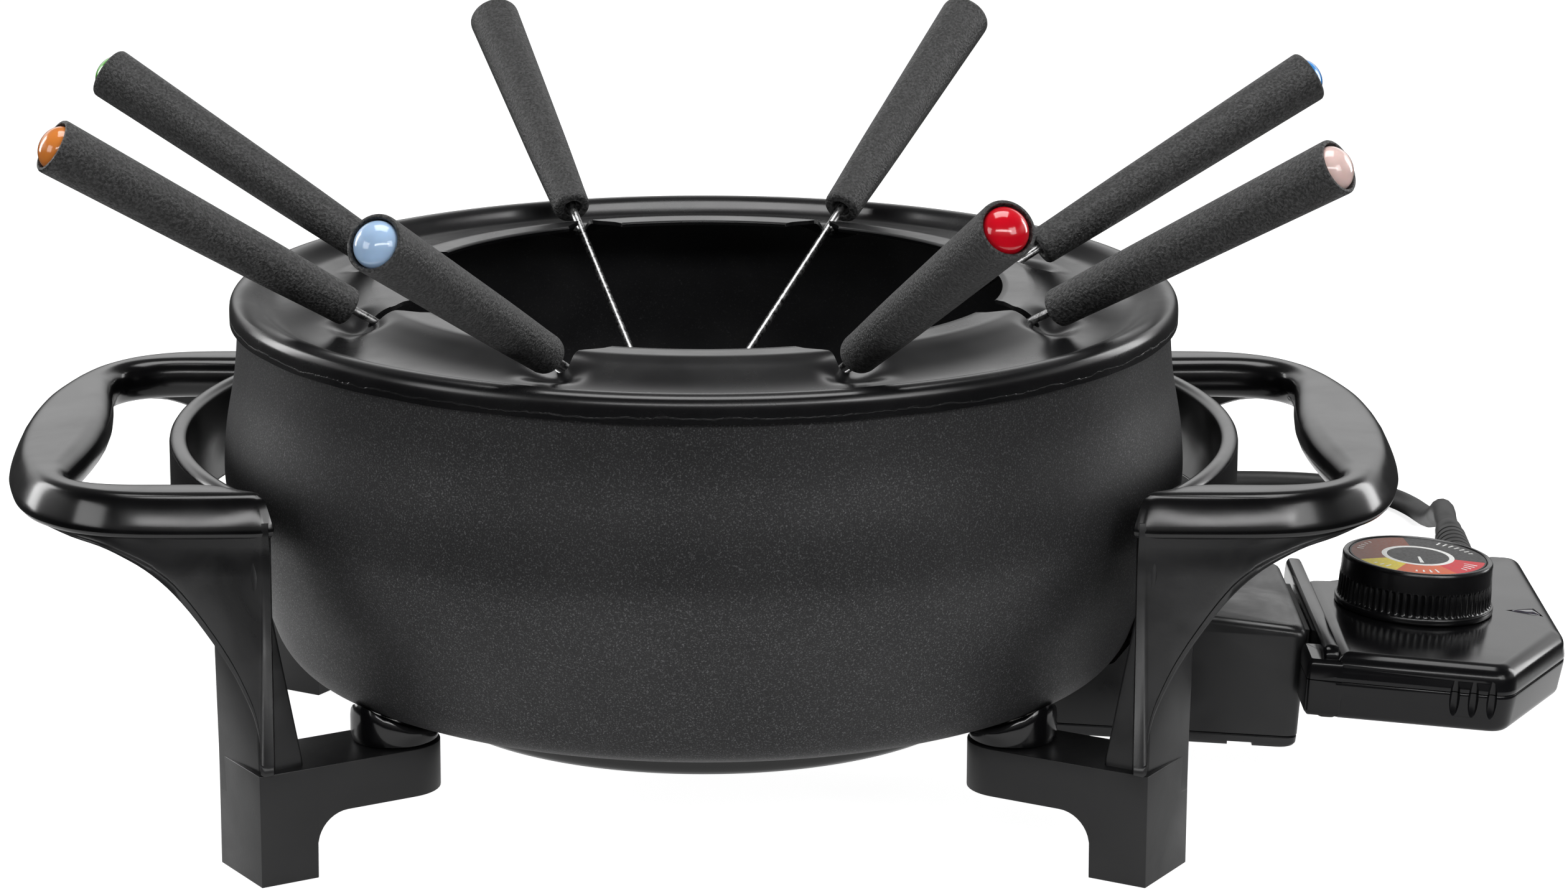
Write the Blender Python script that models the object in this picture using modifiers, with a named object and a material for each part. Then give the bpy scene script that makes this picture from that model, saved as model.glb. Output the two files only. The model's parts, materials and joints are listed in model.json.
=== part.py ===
# Electric fondue pot set: cast pot, splash ring, eight forks, two handled side frames,
# socket and plug-in thermostat with cord.
# World frame: metres, +Z up, floor at z = 0, thermostat on +X, user side on -Y.
# All dimensions below are millimetres unless a name says otherwise.
import math

import bmesh
import bpy
from mathutils import Matrix, Vector

MM = 0.001

# ---------------------------------------------------------------- driving dimensions
POT_AXIS_X = -21.5           # world place of the pot's axis, centres the set on the origin
POT_AXIS_Y = -2.45

# pot: (radius, height) down the inside, over the rim and down the outside
POT_INNER = [(0, 34.0), (84, 34.4), (95, 37.8), (102, 43.8), (107.2, 53), (112.4, 68), (114.4, 83),
             (113.4, 96), (111.0, 114), (111.0, 122.2), (111.5, 122.8)]
POT_OUTER = [(113.2, 122.8), (113.9, 122.0), (113.9, 116), (114.8, 105), (117.0, 92), (117.7, 82),
             (117.2, 76), (115.7, 70), (112.6, 60), (109.6, 52), (107.2, 45), (105.2, 40), (102.0, 36),
             (97.5, 33.6), (92, 31.8), (86, 30.2), (80, 29.6), (0, 29.6)]
POT_STEPS = 40

# splash ring: top surface of a 1 mm sheet, from the inner edge outward and down the skirt
RING_PROFILE = [(73.0, 125.4), (80.6, 125.4), (83.5, 124.7), (87.0, 123.5), (90.0, 122.6),
                (96.0, 121.3), (105.5, 120.9), (109.2, 123.9), (112.2, 124.4), (114.9, 123.5),
                (115.5, 121.8), (115.5, 117.8)]
RING_SHEET = 1.0
RING_STEPS = 64
NOTCH_COUNT = 8
NOTCH_FIRST_DEG = 22.5
NOTCH_MOUTH = 7.0            # half width at the inner edge
NOTCH_SLOT = 1.8             # half width of the slot
NOTCH_SLOT_END = 86.5        # radius of the slot's outer end
DIMPLE_DEPTH = 2.8
DIMPLE_RADIUS = 89.0
DIMPLE_REACH = 11.0
DIMPLE_REACH_R = 8.2

# forks: notch azimuth, swing of the fork about its slot, elevation, cap colour
FORK_PIVOT_R = 82.75
FORK_REST_R = 89.6
FORK_REST_Z = 125.6
FORKS = [("fork_1", 202.5, -1.1, 31.9, "orange"),
         ("fork_2", 247.5, -5.7, 28.4, "light_blue"),
         ("fork_3", 292.5, 1.9, 30.9, "red"),
         ("fork_4", 337.5, -9.6, 30.2, "pink"),
         ("fork_5", 22.5, -3.9, 28.5, "blue"),
         ("fork_6", 67.5, -6.6, 29.0, "yellow"),
         ("fork_7", 112.5, -4.3, 27.9, "white"),
         ("fork_8", 157.5, -0.3, 28.4, "green")]
CAP_COLOURS = {"orange": (0.75, 0.24, 0.045), "light_blue": (0.42, 0.60, 0.85), "red": (0.66, 0.005, 0.017),
               "pink": (0.85, 0.62, 0.58), "blue": (0.032, 0.28, 0.75), "yellow": (0.85, 0.68, 0.05),
               "white": (0.82, 0.82, 0.80), "green": (0.114, 0.485, 0.045)}
WIRE_RADIUS = 1.0
WIRE_REACH = 82.0            # from the rest point to the tips of the tines
TINE_LENGTH = 19.0
TINE_SPREAD = 2.3            # half distance between the two tines
HANDLE_START = 1.7
HANDLE_LENGTH = 83.5
HANDLE_R_IN = 4.7
HANDLE_R_OUT = 6.7
CAP_R = 5.35
CAP_SEAT = 3.1               # depth of the cap's recess in the end of the handle

# side frames (left one; the right one is its mirror image)
GRIP_Z = (80.5, 91.0)
GRIP_BULGE = 2.9             # how far the bar's side stands out past the edge of its top
GRIP_STATIONS = [((-102.2, -74.2), (-107.3, -69.2)), ((-104.5, -75.0), (-110.5, -66.0)),
                 ((-110.0, -75.0), (-114.5, -62.6)), ((-116.5, -75.0), (-119.0, -61.0)),
                 ((-124.0, -75.0), (-127.0, -61.0)), ((-132.0, -74.5), (-135.0, -61.0)),
                 ((-140.0, -72.6), (-141.5, -60.0)), ((-148.0, -68.0), (-146.5, -57.3)),
                 ((-155.0, -60.0), (-149.8, -52.5)), ((-159.5, -50.0), (-150.7, -46.0)),
                 ((-162.5, -39.0), (-149.8, -36.0)), ((-164.8, -27.0), (-148.5, -25.0)),
                 ((-166.1, -13.0), (-147.4, -12.5)), ((-166.5, 0.0), (-147.0, 0.0))]
COLLAR_R = (126.5, 131.0)
COLLAR_Z = (67.0, 90.4)
COLLAR_HALF_DEG = 34.3
# wing under the front of the grip: top point and lower edge point of each strip
WING = [((-155.0, -58.6, 84), (-155.6, -60.0, 80.3)), ((-148.0, -66.8, 84), (-147.5, -69.4, 79.6)),
        ((-140.0, -71.4, 84), (-140.3, -73.7, 78.4)), ((-134.5, -73.2, 84), (-135.0, -75.6, 76.4)),
        ((-129.0, -73.8, 84), (-129.7, -77.1, 73.7)), ((-124.0, -73.9, 84), (-124.5, -78.4, 69.8)),
        ((-119.0, -73.9, 84), (-119.3, -79.8, 64.4)), ((-114.5, -73.9, 84), (-114.2, -81.4, 57.9)),
        ((-111.0, -73.9, 84), (-110.9, -82.6, 53.2)), ((-108.5, -73.9, 84), (-108.2, -83.7, 48.8)),
        ((-106.0, -73.9, 84), (-105.4, -85.0, 43.2)), ((-104.3, -73.9, 84), (-104.0, -85.9, 39.6)),
        ((-103.0, -73.9, 84), (-102.9, -87.1, 34.7)), ((-102.2, -73.9, 84), (-102.6, -88.8, 27.6)),
        ((-100.8, -74.2, 84), (-99.6, -88.9, 27.6))]
WING_WALL = 3.6
LEG_ORIGIN = (-95.85, -72.25)    # middle of the leg's inner face
ARM_DIR = (0.857, 0.5153)        # from the leg to the spacer
LEG_DEPTH = 14.8
ARM_HALF = 10.9
ARM_REACH = 26.0                 # from the leg's inner face to the spacer's axis
ARM_Z = (15.5, 27.2)
ARM_FILLET = 8.0
UPPER_LEG = [(18.0, [(-103.2, -86.2), (-114.3, -70.9), (-102.3, -63.6), (-92.7, -79.4)]),
             (28.8, [(-103.2, -85.9), (-114.4, -70.6), (-102.6, -63.5), (-93.6, -79.9)]),
             (62.0, [(-104.0, -79.6), (-115.2, -69.0), (-106.0, -62.8), (-100.0, -77.6)]),
             (82.5, [(-105.0, -75.6), (-115.4, -67.0), (-108.8, -62.4), (-102.0, -73.2)])]
SPACER_R = 10.4
SCREW_R = 2.0
SCREW_HOLE_R = 2.35

# plinth, element and socket
PAN_R = 70.0
PAN_Z = (20.9, 29.3)
PAN_WALL = 1.0
ELEMENT_R = 56.0
ELEMENT_TUBE_R = 3.25
ELEMENT_Z = 26.0
SOCKET_X = (85.0, 147.0)
SOCKET_HALF = (19.0, 31.5)
SOCKET_WALL = 2.5

# thermostat frame: outer face of the socket, sloping down outward
THERMO_ORIGIN = (147.0, 0.0, 36.5)
THERMO_SLOPE = math.radians(3.6)
BODY_OUTLINE = [(3.4, -48.0), (24.5, -50.4), (45.6, -52.6), (55.3, -34.5), (65.0, -16.0), (65.2, 14.0),
                (65.2, 48.0), (64.2, 52.0), (61.2, 54.6), (56.0, 55.0), (40.5, 45.0), (24.0, 33.0),
                (9.5, 21.6), (3.4, 20.6)]
BODY_BOTTOM, BODY_TOP, BODY_PART = -8.2, 8.3, 1.5
SHELL_WALL = 2.2
KNOB_U = 29.0
KNOB_PROFILE = [(0, 20.2), (17.2, 20.2), (17.2, 21.2), (17.9, 21.3), (18.5, 20.8), (18.7, 18.0),
                (19.0, 12.0), (19.2, 10.2), (19.65, 10.0), (19.65, 8.6), (17.0, 8.6), (16.6, 17.6),
                (5.5, 17.6), (5.5, 9.0), (3.35, 9.0), (3.35, 18.6), (0, 18.6)]

# cord: world route relative to the pot's axis
CORD_R = 3.05
RELIEF_START = (196.6, 46.5, 33.6)
RELIEF_END = (201.2, 105.0, 33.8)
CORD_ROUTE = [(201.25, 105.4, 33.8), (202.4, 118, 33.2), (204.1, 131, 31.6), (205.6, 144, 29.0),
              (207.2, 157, 25.6), (208.8, 170, 21.6), (210.3, 183, 17.4), (211.6, 196, 13.2),
              (212.5, 208, 9.6), (213.1, 220, 6.6), (213.1, 232, 4.5), (211.8, 243, 3.5),
              (208.4, 253, 3.2), (202.6, 261.6, 3.15), (195.0, 268.0, 3.15), (185.5, 272.2, 3.15),
              (174.5, 274.2, 3.15), (162, 274.8, 3.15), (149, 275, 3.15), (136, 275, 3.15),
              (123, 275, 3.15), (110, 275, 3.15), (98, 275, 3.15), (86.6, 275, 3.15)]
COIL_CENTRE = (60.0, 240.0)
COIL_R = (27.8, 40.4)
COIL_Z = (0.1, 12.2)
TAIL_ROUTE = [(37.0, 274.5, 15.8), (30.5, 274.3, 17.0), (24.0, 274.1, 17.9), (18.5, 274.0, 18.3),
              (13.4, 274.0, 18.4)]
PLUG_BACK = (13.0, 274.0, 18.4)
PLUG_PROFILE = [(0, 0), (4.2, 0), (5.2, -7.0), (9.0, -11.0), (14.5, -15.5), (17.6, -20.5), (18.25, -26.0),
                (18.25, -45.0), (17.4, -46.0), (0, -46.0)]
PIN_R = 2.4
PIN_LENGTH = 19.0
PIN_HALF = 9.5

# ---------------------------------------------------------------- scene and helpers
for old in list(bpy.data.objects):
    bpy.data.objects.remove(old, do_unlink=True)

PARTS = bpy.data.collections.new("fondue_set")
CUTTERS = bpy.data.collections.new("cutters")
bpy.context.scene.collection.children.link(PARTS)
bpy.context.scene.collection.children.link(CUTTERS)


def material(name, colour, roughness, metallic=0.0):
    mat = bpy.data.materials.new(name)
    mat.use_nodes = True
    shader = mat.node_tree.nodes["Principled BSDF"]
    shader.inputs["Base Color"].default_value = (*colour, 1.0)
    shader.inputs["Roughness"].default_value = roughness
    shader.inputs["Metallic"].default_value = metallic
    return mat


WORLD = {}


def frame(name, matrix, parent=None):
    """Empty with the given world matrix (translation already in metres)."""
    empty = bpy.data.objects.new(name, None)
    empty.empty_display_size = 0.01
    PARTS.objects.link(empty)
    WORLD[name] = matrix
    if parent:
        empty.parent = bpy.data.objects[parent]
        empty.matrix_basis = WORLD[parent].inverted() @ matrix
    else:
        empty.matrix_basis = matrix
    return name


def place(obj, parent, mat=None, cutter=False):
    (CUTTERS if cutter else PARTS).objects.link(obj)
    obj.parent = bpy.data.objects[parent]
    if mat is not None:
        obj.data.materials.append(mat)
    if cutter:
        obj.hide_render = True
        obj.display_type = "WIRE"
    return obj


def mesh_object(name, bm):
    bmesh.ops.remove_doubles(bm, verts=bm.verts, dist=1e-6)
    bmesh.ops.recalc_face_normals(bm, faces=bm.faces)
    mesh = bpy.data.meshes.new(name)
    bm.to_mesh(mesh)
    bm.free()
    return bpy.data.objects.new(name, mesh)


def loft(name, loops, parent, mat=None, cutter=False):
    """Closed solid through loops of equal length, first and last loop capped."""
    bm = bmesh.new()
    add_loft(bm, loops)
    return place(mesh_object(name, bm), parent, mat, cutter)


def add_loft(bm, loops):
    rows = [[bm.verts.new(Vector(p) * MM) for p in loop] for loop in loops]
    count = len(rows[0])
    for a, b in zip(rows, rows[1:]):
        for i in range(count):
            j = (i + 1) % count
            bm.faces.new((a[i], a[j], b[j], b[i]))
    bm.faces.new(rows[0][::-1])
    bm.faces.new(rows[-1])


def prism_loops(outline, z0, z1):
    return [[(x, y, z0) for x, y in outline], [(x, y, z1) for x, y in outline]]


def circle(cx, cy, r, steps=16, start=0.0):
    turn = math.tau / steps
    return [(cx + r * math.cos(start + i * turn), cy + r * math.sin(start + i * turn))
            for i in range(steps)]


def cylinder(name, centre, r, z0, z1, parent, mat=None, cutter=False, steps=16):
    bm = bmesh.new()
    middle = Vector((centre[0], centre[1], 0.5 * (z0 + z1))) * MM
    bmesh.ops.create_cone(bm, cap_ends=True, segments=steps, radius1=r * MM, radius2=r * MM,
                          depth=(z1 - z0) * MM, matrix=Matrix.Translation(middle))
    return place(mesh_object(name, bm), parent, mat, cutter)


def lathe(name, profile, steps, parent, mat=None, cutter=False, closed=False):
    """Screw of a profile at +X that runs down its outer side."""
    points = [(r * MM, 0.0, z * MM) for r, z in profile]
    edges = [(i, i + 1) for i in range(len(points) - 1)]
    if closed:
        edges.append((len(points) - 1, 0))
    mesh = bpy.data.meshes.new(name)
    mesh.from_pydata(points, edges, [])
    obj = place(bpy.data.objects.new(name, mesh), parent, mat, cutter)
    screw = obj.modifiers.new("turn", "SCREW")
    screw.axis = "Z"
    screw.steps = screw.render_steps = steps
    screw.use_merge_vertices = True
    screw.merge_threshold = 1e-5
    screw.use_smooth_shade = True
    return obj


def boolean(obj, other, operation="DIFFERENCE"):
    mod = obj.modifiers.new(operation.lower(), "BOOLEAN")
    mod.operation = operation
    mod.solver = "EXACT"
    mod.object = other
    return obj


def evaluated_mesh(obj):
    bpy.context.view_layer.update()
    depsgraph = bpy.context.evaluated_depsgraph_get()
    return bpy.data.meshes.new_from_object(obj.evaluated_get(depsgraph))


def mirrored(name, source, axis, parent, mat=None, cutter=False):
    """Mirror image of a source object's finished mesh in a plane through the frame's origin."""
    mesh = evaluated_mesh(source)
    flip = Matrix.Identity(4)
    flip[axis][axis] = -1.0
    mesh.transform(flip)
    mesh.flip_normals()
    mesh.materials.clear()
    return place(bpy.data.objects.new(name, mesh), parent, mat, cutter)


def inset(outline, d):
    """Counter-clockwise outline moved inward by d."""
    out = []
    count = len(outline)
    for i in range(count):
        p0, p1, p2 = (Vector(outline[(i + k) % count]) for k in (-1, 0, 1))
        d1, d2 = (p1 - p0).normalized(), (p2 - p1).normalized()
        n1, n2 = Vector((-d1.y, d1.x)), Vector((-d2.y, d2.x))
        mid = (n1 + n2).normalized()
        out.append(tuple(p1 + mid * (d / max(0.3, mid.dot(n1)))))
    return out


def spline(points, per):
    """Catmull-Rom curve through 2D or 3D points, per steps to each span."""
    pts = [Vector(p) for p in points]
    pts = [pts[0] * 2 - pts[1]] + pts + [pts[-1] * 2 - pts[-2]]
    out = []
    for i in range(1, len(pts) - 2):
        a, b, c, d = pts[i - 1:i + 3]
        for k in range(per):
            t = k / per
            out.append(0.5 * (2 * b + (c - a) * t + (2 * a - 5 * b + 4 * c - d) * t * t
                              + (3 * b - a - 3 * c + d) * t ** 3))
    out.append(pts[-2])
    return [tuple(p) for p in out]


def tube(name, route, radius, parent, mat, resolution=3):
    """Round bar along a route of points, ends capped."""
    curve = bpy.data.curves.new(name, "CURVE")
    curve.dimensions = "3D"
    curve.bevel_depth = radius * MM
    curve.bevel_resolution = resolution
    curve.use_fill_caps = True
    line = curve.splines.new("POLY")
    line.points.add(len(route) - 1)
    for point, p in zip(line.points, route):
        point.co = (*(Vector(p) * MM), 1.0)
    source = bpy.data.objects.new(name + "_route", curve)
    CUTTERS.objects.link(source)
    source.hide_render = True
    mesh = evaluated_mesh(source)
    bpy.data.objects.remove(source, do_unlink=True)
    bm = bmesh.new()
    bm.from_mesh(mesh)
    return place(mesh_object(name, bm), parent, mat)


# ---------------------------------------------------------------- materials
POT_COAT = material("pot_coating", (0.035, 0.035, 0.038), 0.45)
RING_COAT = material("ring_coating", (0.03, 0.03, 0.032), 0.35)
FRAME_BLACK = material("frame_moulding", (0.015, 0.015, 0.016), 0.3)
GLOSS_BLACK = material("spacer_gloss", (0.012, 0.012, 0.013), 0.15)
PAN_BLACK = material("plinth_enamel", (0.01, 0.01, 0.01), 0.12)
ELEMENT_STEEL = material("element_sheath", (0.35, 0.34, 0.32), 0.4, 1.0)
SOCKET_BLACK = material("socket_moulding", (0.02, 0.02, 0.022), 0.35)
COVER_BLACK = material("socket_cover_moulding", (0.02, 0.02, 0.022), 0.45)
SCREW_STEEL = material("screw_steel", (0.5, 0.5, 0.5), 0.35, 1.0)
PIN_STEEL = material("terminal_steel", (0.6, 0.6, 0.6), 0.25, 1.0)
HANDLE_BLACK = material("fork_handle_moulding", (0.02, 0.02, 0.02), 0.5)
FORK_STEEL = material("fork_steel", (0.72, 0.72, 0.72), 0.18, 1.0)
SHELL_BLACK = material("thermostat_moulding", (0.02, 0.02, 0.022), 0.32)
LOWER_BLACK = material("thermostat_lower_moulding", (0.018, 0.018, 0.02), 0.4)
BLOCK_BLACK = material("contact_block_moulding", (0.03, 0.03, 0.03), 0.6)
SLEEVE_BRASS = material("contact_brass", (0.75, 0.6, 0.3), 0.3, 1.0)
PROBE_STEEL = material("probe_steel", (0.6, 0.6, 0.6), 0.3, 1.0)
SWITCH_GREY = material("switch_ceramic", (0.6, 0.58, 0.52), 0.7)
LENS_RED = material("indicator_lens", (0.35, 0.02, 0.02), 0.15)
KNOB_BLACK = material("knob_moulding", (0.018, 0.018, 0.02), 0.3)
DISC_PRINT = material("dial_print", (0.5, 0.25, 0.05), 0.4)
CORD_BLACK = material("cord_rubber", (0.015, 0.015, 0.015), 0.6)
RELIEF_BLACK = material("relief_rubber", (0.015, 0.015, 0.015), 0.55)
PLUG_BLACK = material("plug_rubber", (0.015, 0.015, 0.015), 0.5)

# ---------------------------------------------------------------- frames
AXIS = Matrix.Translation(Vector((POT_AXIS_X, POT_AXIS_Y, 0.0)) * MM)
frame("base_frame", AXIS)
frame("ring_frame", AXIS, "base_frame")
THERMO = AXIS @ Matrix.Translation(Vector(THERMO_ORIGIN) * MM) @ Matrix.Rotation(THERMO_SLOPE, 4, "Y")
frame("thermostat_frame", THERMO, "base_frame")
frame("knob_frame", THERMO @ Matrix.Translation((KNOB_U * MM, 0.0, 0.0)), "thermostat_frame")
frame("cord_frame", AXIS, "thermostat_frame")

# ---------------------------------------------------------------- pot
lathe("pot", POT_INNER + POT_OUTER, POT_STEPS, "base_frame", POT_COAT)


def pot_envelope(name, gap):
    """Solid with the pot's outside grown by a gap, used to clear the pot's underside."""
    side = [(r + gap, z) for r, z in POT_OUTER[4:11]]
    under = [(105.2 + gap, 40.0 - 0.2 * gap), (102.0 + 0.7 * gap, 36 - 0.8 * gap),
             (97.5 + 0.4 * gap, 33.6 - 0.95 * gap), (92, 31.8 - gap), (86, 30.2 - gap),
             (80, 29.6 - gap), (0, 29.6 - gap)]
    return lathe(name, [(0, 92)] + side + under, POT_STEPS, "base_frame", cutter=True)


SPACER_ENVELOPE = pot_envelope("spacer_envelope", 0.35)
SOCKET_ENVELOPE = pot_envelope("socket_envelope", 1.5)

# ---------------------------------------------------------------- splash ring
sheet = lathe("splash_sheet", RING_PROFILE, RING_STEPS, "ring_frame", cutter=True)
ring_mesh = evaluated_mesh(sheet)
bpy.data.objects.remove(sheet, do_unlink=True)
ring_bm = bmesh.new()
ring_bm.from_mesh(ring_mesh)
bmesh.ops.remove_doubles(ring_bm, verts=ring_bm.verts, dist=1e-6)
for vert in ring_bm.verts:
    radius, angle = math.hypot(vert.co.x, vert.co.y) / MM, math.atan2(vert.co.y, vert.co.x)
    for n in range(NOTCH_COUNT):
        notch = math.radians(NOTCH_FIRST_DEG) + n * math.tau / NOTCH_COUNT
        across = radius * math.sin(angle - notch)
        along = radius * math.cos(angle - notch) - DIMPLE_RADIUS
        if math.cos(angle - notch) > 0 and abs(across) < DIMPLE_REACH and abs(along) < DIMPLE_REACH_R:
            bell = 0.25 * (1 + math.cos(math.pi * across / DIMPLE_REACH)) \
                * (1 + math.cos(math.pi * along / DIMPLE_REACH_R))
            vert.co.z -= DIMPLE_DEPTH * bell * MM
ring_data = bpy.data.meshes.new("splash_ring")
ring_bm.to_mesh(ring_data)
ring_bm.free()
ring = place(bpy.data.objects.new("splash_ring", ring_data), "ring_frame", RING_COAT)
skin = ring.modifiers.new("sheet", "SOLIDIFY")
skin.thickness = RING_SHEET * MM
skin.offset = -1.0
skin.use_even_offset = True

keyholes = bmesh.new()
slot_end = [(NOTCH_SLOT_END - NOTCH_SLOT + NOTCH_SLOT * math.cos(a), NOTCH_SLOT * math.sin(a))
            for a in (math.radians(d) for d in (-90, -54, -18, 18, 54, 90))]
keyhole = ([(70.0, -NOTCH_MOUTH), (74.6, -NOTCH_MOUTH), (77.2, -4.0), (79.8, -NOTCH_SLOT)]
           + slot_end
           + [(79.8, NOTCH_SLOT), (77.2, 4.0), (74.6, NOTCH_MOUTH), (70.0, NOTCH_MOUTH)])
for n in range(NOTCH_COUNT):
    notch = math.radians(NOTCH_FIRST_DEG) + n * math.tau / NOTCH_COUNT
    c, s = math.cos(notch), math.sin(notch)
    turned = [(c * x - s * y, s * x + c * y) for x, y in keyhole]
    add_loft(keyholes, prism_loops(turned, 115.0, 130.0))
keyhole_cutter = place(mesh_object("keyhole_cutter", keyholes), "ring_frame", cutter=True)
boolean(ring, keyhole_cutter)

# ---------------------------------------------------------------- forks
for fork, notch_deg, swing, elevation, colour in FORKS:
    notch, head, rise = (math.radians(v) for v in (notch_deg, notch_deg + swing, elevation))
    heading = Vector((math.cos(head), math.sin(head), 0.0))
    rest = Vector((math.cos(notch), math.sin(notch), 0.0)) * FORK_PIVOT_R \
        + heading * (FORK_REST_R - FORK_PIVOT_R) + Vector((0, 0, FORK_REST_Z))
    along = heading * math.cos(rise) + Vector((0, 0, math.sin(rise)))
    side = Vector((-math.sin(head), math.cos(head), 0.0))
    up = along.cross(side)
    turn = Matrix((side, up, along)).transposed().to_4x4()
    frame(fork + "_frame", AXIS @ Matrix.Translation(rest * MM) @ turn, "ring_frame")
    where = fork + "_frame"

    handle_end = HANDLE_START + HANDLE_LENGTH
    lathe(fork + "_handle",
          [(0, handle_end - CAP_SEAT), (CAP_R + 0.3, handle_end - CAP_SEAT), (CAP_R + 0.3, handle_end),
           (HANDLE_R_OUT - 0.3, handle_end), (HANDLE_R_OUT, handle_end - 0.8), (5.6, HANDLE_START + 30),
           (HANDLE_R_IN, HANDLE_START + 1.0), (HANDLE_R_IN - 0.7, HANDLE_START),
           (1.35, HANDLE_START), (1.35, HANDLE_START + 20.3), (0, HANDLE_START + 20.3)],
          10, where, HANDLE_BLACK)
    lathe(fork + "_cap",
          [(0, handle_end + 2.6), (2.9, handle_end + 2.0), (4.6, handle_end + 0.8),
           (CAP_R, handle_end - 0.7), (CAP_R, handle_end - CAP_SEAT + 0.3), (0, handle_end - CAP_SEAT + 0.3)],
          10, where, material(fork + "_cap_" + colour, CAP_COLOURS[colour], 0.15))

    stem_end = -(WIRE_REACH - TINE_LENGTH - 4.0)
    wire = bmesh.new()
    add_loft(wire, prism_loops(circle(0, 0, WIRE_RADIUS, 8, math.radians(22.5)),
                               stem_end - 1.5, HANDLE_START + 20.0))
    stem = place(mesh_object(fork + "_wire", wire), where, FORK_STEEL)
    for sign in (-1, 1):
        tines = bmesh.new()
        rows = []
        for z, x, rx, ry in ((stem_end + 1.0, 0.0, 0.8, 0.7), (stem_end - 1.4, 0.5, 0.85, 0.75),
                             (stem_end - 4.0, TINE_SPREAD, 0.85, 0.75),
                             (-(WIRE_REACH - 5.0), TINE_SPREAD, 0.8, 0.7),
                             (-(WIRE_REACH - 4.9), TINE_SPREAD + 0.25, 1.15, 0.5),
                             (-WIRE_REACH, TINE_SPREAD, 0.12, 0.12)):
            rows.append([(sign * x + rx * math.cos(a), ry * math.sin(a), z)
                         for a in (k * math.tau / 6 for k in range(6))])
        add_loft(tines, rows if sign > 0 else [row[::-1] for row in rows])
        tool = place(mesh_object("%s_tine_%d" % (fork, sign), tines), where, cutter=True)
        boolean(stem, tool, "UNION")

# ---------------------------------------------------------------- side frames


def rounded_section(outer, inner, z0, z1, r, corner_steps=(0, 45, 90)):
    """Rounded rectangle in the upright plane through two plan points."""
    o, i = Vector(outer), Vector(inner)
    width = (i - o).length
    d = (i - o) / width
    r = min(r, 0.45 * width, 0.45 * (z1 - z0))
    loop = []
    for cx, cz, start in ((r, z1 - r, 90), (r, z0 + r, 180), (width - r, z0 + r, 270),
                          (width - r, z1 - r, 0)):
        for k in corner_steps:
            a = math.radians(start + k)
            s = cx + r * math.cos(a)
            loop.append((o.x + d.x * s, o.y + d.y * s, cz + r * math.sin(a)))
    return loop


def grip_section(outer, inner, end=0.0):
    """Bar of the grip in the upright plane through two plan points, bulging past the top's outer edge."""
    o, i = Vector(outer), Vector(inner)
    width = (i - o).length
    d = (i - o) / width
    r = min(4.2, 0.42 * width)
    low, high = GRIP_Z[0] + end, GRIP_Z[1] - end
    bulge = GRIP_BULGE if width > 8.0 else 0.5 * GRIP_BULGE
    points = [(1.6, high), (-0.3 * bulge, high - 1.7), (-0.9 * bulge, high - 4.4), (-bulge, high - 6.6),
              (-0.6 * bulge, low + 1.0), (0.8, low), (width - r, low), (width, low + r),
              (width, high - r), (width - 0.6 * r, high)]
    return [(o.x + d.x * s, o.y + d.y * s, z) for s, z in points]


front = GRIP_STATIONS
back = [((o[0], -o[1]), (i[0], -i[1])) for o, i in reversed(front[:-1])]
sections = [grip_section(o, i) for o, i in front + back]
tip = grip_section((-101.4, -73.3), (-104.6, -71.0), 2.4)
tip_back = grip_section((-101.4, 73.3), (-104.6, 71.0), 2.4)
left = loft("side_frame_left", [tip] + sections + [tip_back], "base_frame", FRAME_BLACK)

collar_loops = []
for k in range(13):
    a = math.radians(180 - COLLAR_HALF_DEG + 2 * COLLAR_HALF_DEG * k / 12)
    inner_point = (COLLAR_R[0] * math.cos(a), COLLAR_R[0] * math.sin(a))
    outer_point = (COLLAR_R[1] * math.cos(a), COLLAR_R[1] * math.sin(a))
    collar_loops.append(rounded_section(outer_point, inner_point, *COLLAR_Z, 1.4, (0, 90)))
collar = loft("collar_piece", collar_loops, "base_frame", cutter=True)

wing_loops = []
for top, low in WING:
    top, low = Vector(top), Vector(low)
    inward = Vector((0.35, 1.0, 0)).normalized() * WING_WALL if top.x < -138 else Vector((0, WING_WALL, 0))
    wing_loops.append([tuple(p) for p in (top, low, low + inward, top + inward)])
wing = loft("wing_piece", wing_loops, "base_frame", cutter=True)

ux = Vector((*ARM_DIR, 0)).normalized()
uy = Vector((-ux.y, ux.x, 0))
foot = Vector((*LEG_ORIGIN, 0))
leg_rows = [(-LEG_DEPTH, ARM_HALF, 0.0), (0.0, ARM_HALF, 0.0)]
corner = ARM_Z[0] - ARM_FILLET
leg_rows += [(s, ARM_HALF, corner + math.sqrt(max(0.0, ARM_FILLET ** 2 - (ARM_FILLET - s) ** 2)))
             for s in (0.15, 0.9, 2.3, 4.6, 8.0)]
leg_rows += [(ARM_REACH, ARM_HALF, ARM_Z[0])]
leg_rows += [(ARM_REACH + ARM_HALF * math.sin(math.radians(t)), ARM_HALF * math.cos(math.radians(t)),
              ARM_Z[0]) for t in (15, 30, 45, 60, 72, 83)]
leg_loops = []
for s, half, low in leg_rows:
    base = foot + ux * s
    leg_loops.append([tuple(base - uy * half + Vector((0, 0, low))),
                      tuple(base + uy * half + Vector((0, 0, low))),
                      tuple(base + uy * half + Vector((0, 0, ARM_Z[1]))),
                      tuple(base - uy * half + Vector((0, 0, ARM_Z[1])))])
leg = loft("leg_piece", leg_loops, "base_frame", cutter=True)
upper = loft("upper_leg_piece", [[(x, y, z) for x, y in loop] for z, loop in UPPER_LEG],
             "base_frame", cutter=True)

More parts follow.
